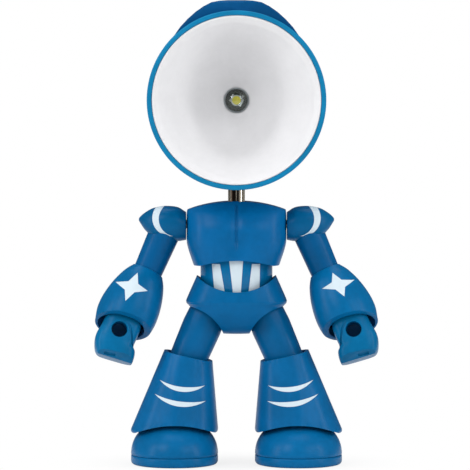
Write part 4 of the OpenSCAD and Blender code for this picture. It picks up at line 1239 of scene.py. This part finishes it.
@dataclass
class Leg(Limb):
    """One leg, modelled as the right one: thigh, shin, foot and sole."""

    hip: Point = (-14.3, 69.0)
    knee: Point = (-24.9, 44.5)
    foot_x: float = -29.2
    shin_w: float = 40.7
    shin_d: float = 40.0
    foot_w: float = 41.0
    foot_l: float = 52.0
    foot_h: float = 21.5
    sole_t: float = 4.4
    wall: float = 1.8
    arch_r: float = 45.0

    def thigh(self) -> Piece:
        """Turn the thigh with its two round ends and tilt it."""
        tilt = math.atan2(self.hip[0] - self.knee[0], self.hip[1] - self.knee[1])
        length = math.dist(self.hip, self.knee)
        top = [(z, x) for x, z in (polar(9, a) for a in range(0, 90, 6))]
        low = [(x, -length - z) for x, z in (polar(8.6, a) for a in range(6, 91, 6))]
        line = [*top, (9.0, 0.0), (9.12, -2.0), (9.3, -5.0), (9.0, -16), (8.6, -length), *low]
        thigh = Piece.turned("thigh", line, 112)
        thigh.place(Matrix.Rotation(tilt, 4, "Y")).move(self.hip[0], 0, self.hip[1])
        thigh.cut(Piece.bar("hip_bore", AXLE_R, (-19.2, 0), 48, "X", (0, 0, self.hip[1])))
        return thigh.ease(0.15, 2, 45).smooth(40)

    def station(self, z: float, inset: float) -> Station:
        """Return the shin's section at a height."""
        rise = z - 17
        half_w, half_d = self.shin_w / 2 - rise * 0.253, self.shin_d / 2 - rise * 0.2
        return (z, half_w - inset, half_d - inset, self.foot_x + 0.15 + rise * 0.17, 0.0)

    def shin_form(self, inset: float = 0.0) -> Piece:
        """Draw the shin's outside, or its inside when inset by a wall."""
        low = 15 - inset / 4
        heights = [low, low + 0.35, low + 0.9, 16.6, *(18 + 3.2 * i for i in range(13))]
        soft = {low: 0.9, low + 0.35: 0.4, low + 0.9: 0.12}
        stations = [self.station(z, inset + soft.get(z, 0.0)) for z in heights]
        return Piece.loft("shin", stations, 2.5, 28)

    def shin(self) -> Piece:
        """Build the boot's leg with its crease, slanted rim and arched instep."""
        shin = self.shin_form()
        crest = self.foot_x + 0.6
        shin.pull(lambda v: abs(v.x - crest) < 1.0 and v.y < -8 and v.z < 46, (-0.2, -0.5, 0), 7)
        shin.pull(lambda v: abs(v.x - crest) < 1.0 and v.y < -8 and v.z < 40, (-0.2, -0.3, 0), 3)
        shin.cut(self.shin_form(self.wall))
        rim = Piece.box("rim", (-90, -60, 0), (90, 60, 60)).turn(13, "Y")
        middle = self.foot_x + 0.15 + 34 * 0.17
        shin.cut(rim.move(middle, 0, 51))
        shin.cut(Piece.arc("instep", self.arch_r, 256, self.foot_x + 0.4, 19.3 - self.arch_r))
        for z, x, bore in ((44.5, self.knee[0], 1.55), (25, self.foot_x, 1.45)):
            reach = self.station(z, 0.0)[1] - 0.85
            mid = self.station(z, 0.0)[3]
            gaps = (9.0, 11.3) if z > 30 else (5.4, 5.4)
            for low, high in ((mid - reach, x - gaps[0]), (x + gaps[1], mid + reach)):
                lug = Piece.bar("lug", bore + 1.75, (low, high), 32, "X", (0, 0, z))
                shin.join(lug.keep(self.shin_form(self.wall * 0.4)))
            shin.cut(Piece.bar("bore", bore, (mid - reach - 0.1, mid + reach + 0.1), 32, "X", (0, 0, z)))
        return shin.ease(0.45, 3, 42).smooth(38)

    def foot(self) -> Piece:
        """Draw the foot's dome over its groove, with the ankle's lug."""
        low, w, l = self.sole_t + 0.02, self.foot_w / 2, self.foot_l / 2
        high = self.foot_h - low
        steps = [math.sin(math.radians(a)) for a in range(0, 84, 5)] + [0.9985]
        rough = [(low, w - 0.5, l - 0.5), (low + 0.12, w - 0.2, l - 0.2), (low + 0.45, w, l)]
        for u in steps[1:]:
            k = math.sqrt(1 - u**2.2)
            rough.append((low + u * high, max(k * w, 0.5), max(k * l, 0.6)))
        dome = Piece.loft("foot", [(z, a, b, self.foot_x, 0.0) for z, a, b in rough], 2.1, 24)
        inner = [(z - 1.9, max(a - 1.8, 0.4), max(b - 1.8, 0.5), self.foot_x, 0.0) for z, a, b in rough[2:]]
        dome.cut(Piece.loft("inside", [(2.0, w - 1.8, l - 1.8, self.foot_x, 0.0), *inner[1:]], 2.1, 24))
        lug = Piece.bar("lug", 3.4, (-5, 5), 64, "X", (self.foot_x, 0, 25))
        lug.join(Piece.box("post", (self.foot_x - 5, -3.4, 19.6), (self.foot_x + 5, 3.4, 25)))
        dome.join(lug).cut(Piece.bar("bore", 1.46, (-60, 0), 48, "X", (0, 0, 25)))
        return dome.ease(0.2, 2, 45).smooth(40)

    def sole(self) -> Piece:
        """Draw the sole with its rounded lower edge."""
        w, l, x = self.foot_w / 2, self.foot_l / 2, self.foot_x
        rough = [(0, 1.3), (0.12, 0.8), (0.5, 0.35), (1.0, 0.1), (1.6, 0), (3.6, 0), (4.05, 0.1), (4.3, 0.3)]
        rough += [(4.4, 0.6)]
        return Piece.loft("sole", [(z, w - i, l - i, x, 0.0) for z, i in rough], 2.1, 24).smooth(50)

    def build(self) -> None:
        """Build the right leg and mirror each piece for the left."""
        pieces = {
            "thigh": (self.thigh(), "thigh", self.paints.thighs),
            "shin": (self.shin(), "shin", self.paints.shins),
            "foot": (self.foot(), "foot", self.paints.feet),
            "foot_sole": (self.sole(), "foot", self.paints.feet),
        }
        for node, (piece, body, finishes) in pieces.items():
            self.pair(node, body, piece, finishes)


# ---- The finishes on this lamp ----

STRIPES = (
    Stripe((96.2, -3.4, 3.07), (80.2, -1.56, 1.95)),
    Stripe((94.6, -11.5, -7.75), (80.5, -10.2, -5.3)),
    Stripe((94.6, 7.2, 11.0), (80.5, 5.5, 10.7)),
)
SHIN_MOONS = (
    Crescent((-23.79, 51.35, 16.41), (-21.33, 71.29, 34.25)),
    Crescent((-24.04, 48.55, 20.5), (-20.09, 77.39, 47.25)),
)
SHOULDER_MOON = Crescent((-30.89, 115.83, 8.53), (-28.23, 115.37, 8.15))
STARS = {
    Side.RIGHT: Star((-49.0, 83.97), (7.6, -2.0), (2.76, 6.4)),
    Side.LEFT: Star((47.59, 84.95), (7.6, 2.0), (-2.69, 5.4)),
}


def across(shape: Crescent) -> Crescent:
    """Return the crescent's twin on the lamp's other side."""
    return Crescent((-shape.outer[0], *shape.outer[1:]), (-shape.inner[0], *shape.inner[1:]))


class Paints:
    """Every finish of the lamp, made once."""

    @classmethod
    def shared(cls) -> "Paints":
        """Return the one set of finishes, making it at the first call."""
        if not hasattr(cls, "_shared"):
            cls._shared = cls()
            cls._shared.mix_all()
        return cls._shared

    def sided(
        self, name: str, colour: RGB, prints: dict[Side, tuple[Print, ...]]
    ) -> dict[Side, bpy.types.Material]:
        """Make one moulding's finish for each side."""
        return {
            side: Moulding(f"{name}_{side.value}", colour, prints=prints.get(side, ()), parting=True).make()
            for side in Side
        }

    def mix_all(self) -> None:
        """Make each finish."""
        # Painted highlight: the rim's blue is lighter than the chest's, as light on its rounded front edge.
        self.rim = Moulding("rim_blue", (14, 114, 158)).make()
        # Painted shade: the crest's blue is darker, as the shade on its face behind the rim; the rear cover
        # shares it.
        self.crest = Moulding("crest_blue", (4, 73, 122)).make()
        self.reflector = Moulding("reflector_white", (216, 216, 218), mottle=0.25).make()
        self.board = Board("solder_mask").make()
        self.silver = Metal("tinned", (215, 215, 210), 0.25).make()
        self.phosphor = Phosphor("phosphor").make()
        self.lens = Clear("clear_lens").make()
        # Painted reflection: the X ranges, in millimetres, of the dark bands on the chrome.
        reflection_bands = ((-3.8, -3.1), (-2.7, -0.15), (0.0, 1.3))
        self.chrome = Metal("chrome", (236, 226, 206), 0.06, reflection_bands=reflection_bands).make()
        self.steel = Metal("zinc_steel", (170, 172, 176), 0.24, 0.2).make()
        self.brass = Metal("sprung_brass", (205, 170, 90), 0.22, 0.1).make()
        self.nylon = Moulding("black_nylon", (34, 34, 36)).make()
        self.chest = Moulding("chest_blue", (2, 90, 144)).make()
        self.back = Moulding("back_blue", (2, 90, 144)).make()
        bright = Ink((198, 212, 220))
        self.abdomen = Moulding("abdomen_blue", (3, 98, 147), Gloss.POLISHED, STRIPES, bright).make()
        self.pelvis = Moulding("pelvis_blue", (0, 90, 142)).make()
        moons = {Side.RIGHT: (SHOULDER_MOON,), Side.LEFT: (across(SHOULDER_MOON),)}
        swept = {Side.RIGHT: SHIN_MOONS, Side.LEFT: tuple(across(m) for m in SHIN_MOONS)}
        stars = {side: (star,) for side, star in STARS.items()}
        self.pauldrons = self.sided("pauldron_blue", (0, 85, 131), moons)
        self.bare_arms = self.sided("arm_blue", (0, 81, 131), {})
        self.gauntlets = self.sided("gauntlet_blue", (1, 94, 145), stars)
        self.fists = self.sided("fist_blue", (2, 98, 145), {})
        self.thighs = self.sided("thigh_blue", (2, 88, 138), {})
        self.shins = self.sided("shin_blue", (5, 92, 144), swept)
        self.feet = self.sided("foot_blue", (4, 94, 145), {})


def dress_hidden() -> None:
    """Give the solids that stay showing a finish of their own."""
    paints = Paints.shared()
    wire = Moulding("wire_red", (150, 30, 30)).make()
    cell = Metal("nickel_cell", (196, 196, 192), 0.2, 0.1).make()
    pcb = Board("driver_board", (30, 74, 44), (0.0, 104.0)).make()
    special = {"neck_wires": wire, "battery_cells": cell, "circuit_board": pcb}
    special["battery_contacts"] = paints.brass
    for name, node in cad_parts.items():
        if not node.hide_render:
            node.data.materials.clear()
            node.data.materials.append(special.get(name, paints.steel))


# ---- The studio ----


@dataclass
class Studio:
    """The pale floor, the soft lamps and the camera."""

    distance: float = 1.7
    height: float = 0.171
    aim: tuple[float, float, float] = (-0.0007, 0.0, 0.1076)
    focal_px: float = 3617.0

    def floor(self) -> None:
        """Lay the floor, white to the camera and through the clear lens."""
        deselect()
        bpy.ops.mesh.primitive_plane_add(size=8, location=(0, 0, -0.0002))
        floor = bpy.context.object
        floor.name = "floor"
        paint = Paint("floor_white")
        path = paint.add("ShaderNodeLightPath")
        paint.surface(Base_Color=(0.8, 0.8, 0.8, 1), Roughness=0.7)
        glow = paint.add("ShaderNodeEmission", {}, {"Strength": 1.0})
        through = Value(paint, path.outputs["Is Transmission Ray"])
        share = through.most(self.seen(paint, path))
        sockets = {0: share, 1: paint.shader.outputs[0], 2: glow.outputs[0]}
        blend = paint.add("ShaderNodeMixShader", {}, sockets)
        paint.tree.links.new(blend.outputs[0], paint.output.inputs["Surface"])
        floor.data.materials.append(paint.material)

    def seen(self, paint: Paint, path: bpy.types.Node) -> Value:
        """Return the camera's share of the glow: all of it but a faint contact shadow near the feet."""
        x, y = paint.x, paint.y
        reach = ((x * x) * (1 / 70.0**2) + (y * y) * (1 / 50.0**2)).root()
        return Value(paint, path.outputs["Is Camera Ray"]) * (reach.soft(0.2, 1.4) * 0.2 + 0.8)

    def world(self) -> None:
        """Light all round, white to the camera."""
        world = bpy.data.worlds.new("studio")
        bpy.context.scene.world = world
        world.use_nodes = True
        tree = world.node_tree
        tree.nodes.clear()
        path = tree.nodes.new("ShaderNodeLightPath")
        soft, white, dim = (tree.nodes.new("ShaderNodeBackground") for _ in range(3))
        for sky, strength in ((soft, 0.55), (white, 1.0), (dim, 0.07)):
            sky.inputs["Color"].default_value, sky.inputs["Strength"].default_value = (1, 1, 1, 1), strength
        blend, mirrored = (tree.nodes.new("ShaderNodeMixShader") for _ in range(2))
        output = tree.nodes.new("ShaderNodeOutputWorld")
        for source, target in (
            (path.outputs["Is Glossy Ray"], mirrored.inputs[0]),
            (soft.outputs[0], mirrored.inputs[1]),
            (dim.outputs[0], mirrored.inputs[2]),
            (path.outputs["Is Camera Ray"], blend.inputs[0]),
            (mirrored.outputs[0], blend.inputs[1]),
            (white.outputs[0], blend.inputs[2]),
            (blend.outputs[0], output.inputs[0]),
        ):
            tree.links.new(source, target)

    def lamp(self, name: str, place: Point3, wide: float, high: float, watts: float) -> None:
        """Hang a soft lamp that faces the robot."""
        light = bpy.data.lights.new(name, "AREA")
        light.shape, light.size, light.size_y, light.energy = "RECTANGLE", wide, high, watts
        obj = bpy.data.objects.new(name, light)
        bpy.context.scene.collection.objects.link(obj)
        obj.location = place
        obj.rotation_euler = (Vector((0, 0, 0.11)) - Vector(place)).to_track_quat("-Z", "Y").to_euler()

    def camera(self) -> None:
        """Set the camera."""
        data = bpy.data.cameras.new("camera")
        data.sensor_width, data.lens = 36.0, self.focal_px / IMAGE_PX * 36.0
        data.clip_end = 50
        camera = bpy.data.objects.new("camera", data)
        bpy.context.scene.collection.objects.link(camera)
        camera.location = (self.aim[0], -self.distance, self.height)
        camera.rotation_euler = (Vector(self.aim) - camera.location).to_track_quat("-Z", "Y").to_euler()
        bpy.context.scene.camera = camera

    def build(self) -> None:
        """Set up the whole studio."""
        self.floor()
        self.world()
        self.lamp("key", (-0.75, -0.95, 0.9), 0.5, 0.7, 6.5)
        self.lamp("strip_left", (-1.15, -0.42, 0.35), 0.16, 1.1, 5.0)
        self.lamp("strip_right", (1.15, -0.42, 0.35), 0.16, 1.1, 5.0)
        self.lamp("fill", (0.8, -1.0, 0.7), 0.7, 0.7, 4.0)
        self.lamp("top", (0.0, 0.1, 1.2), 0.9, 0.9, 6.0)
        self.camera()
        bpy.context.scene.view_settings.view_transform = "Standard"


def main() -> None:
    """Build the lamp piece by piece, then the studio."""
    logging.basicConfig(level=logging.INFO, format="%(name)s: %(message)s")
    for maker in (Head(), Neck(), Torso(), Pelvis(), Arm(), Leg()):
        log.info("building %s", type(maker).__name__)
        maker.build()
    dress_hidden()
    Studio().build()


if __name__ == "__main__":
    main()
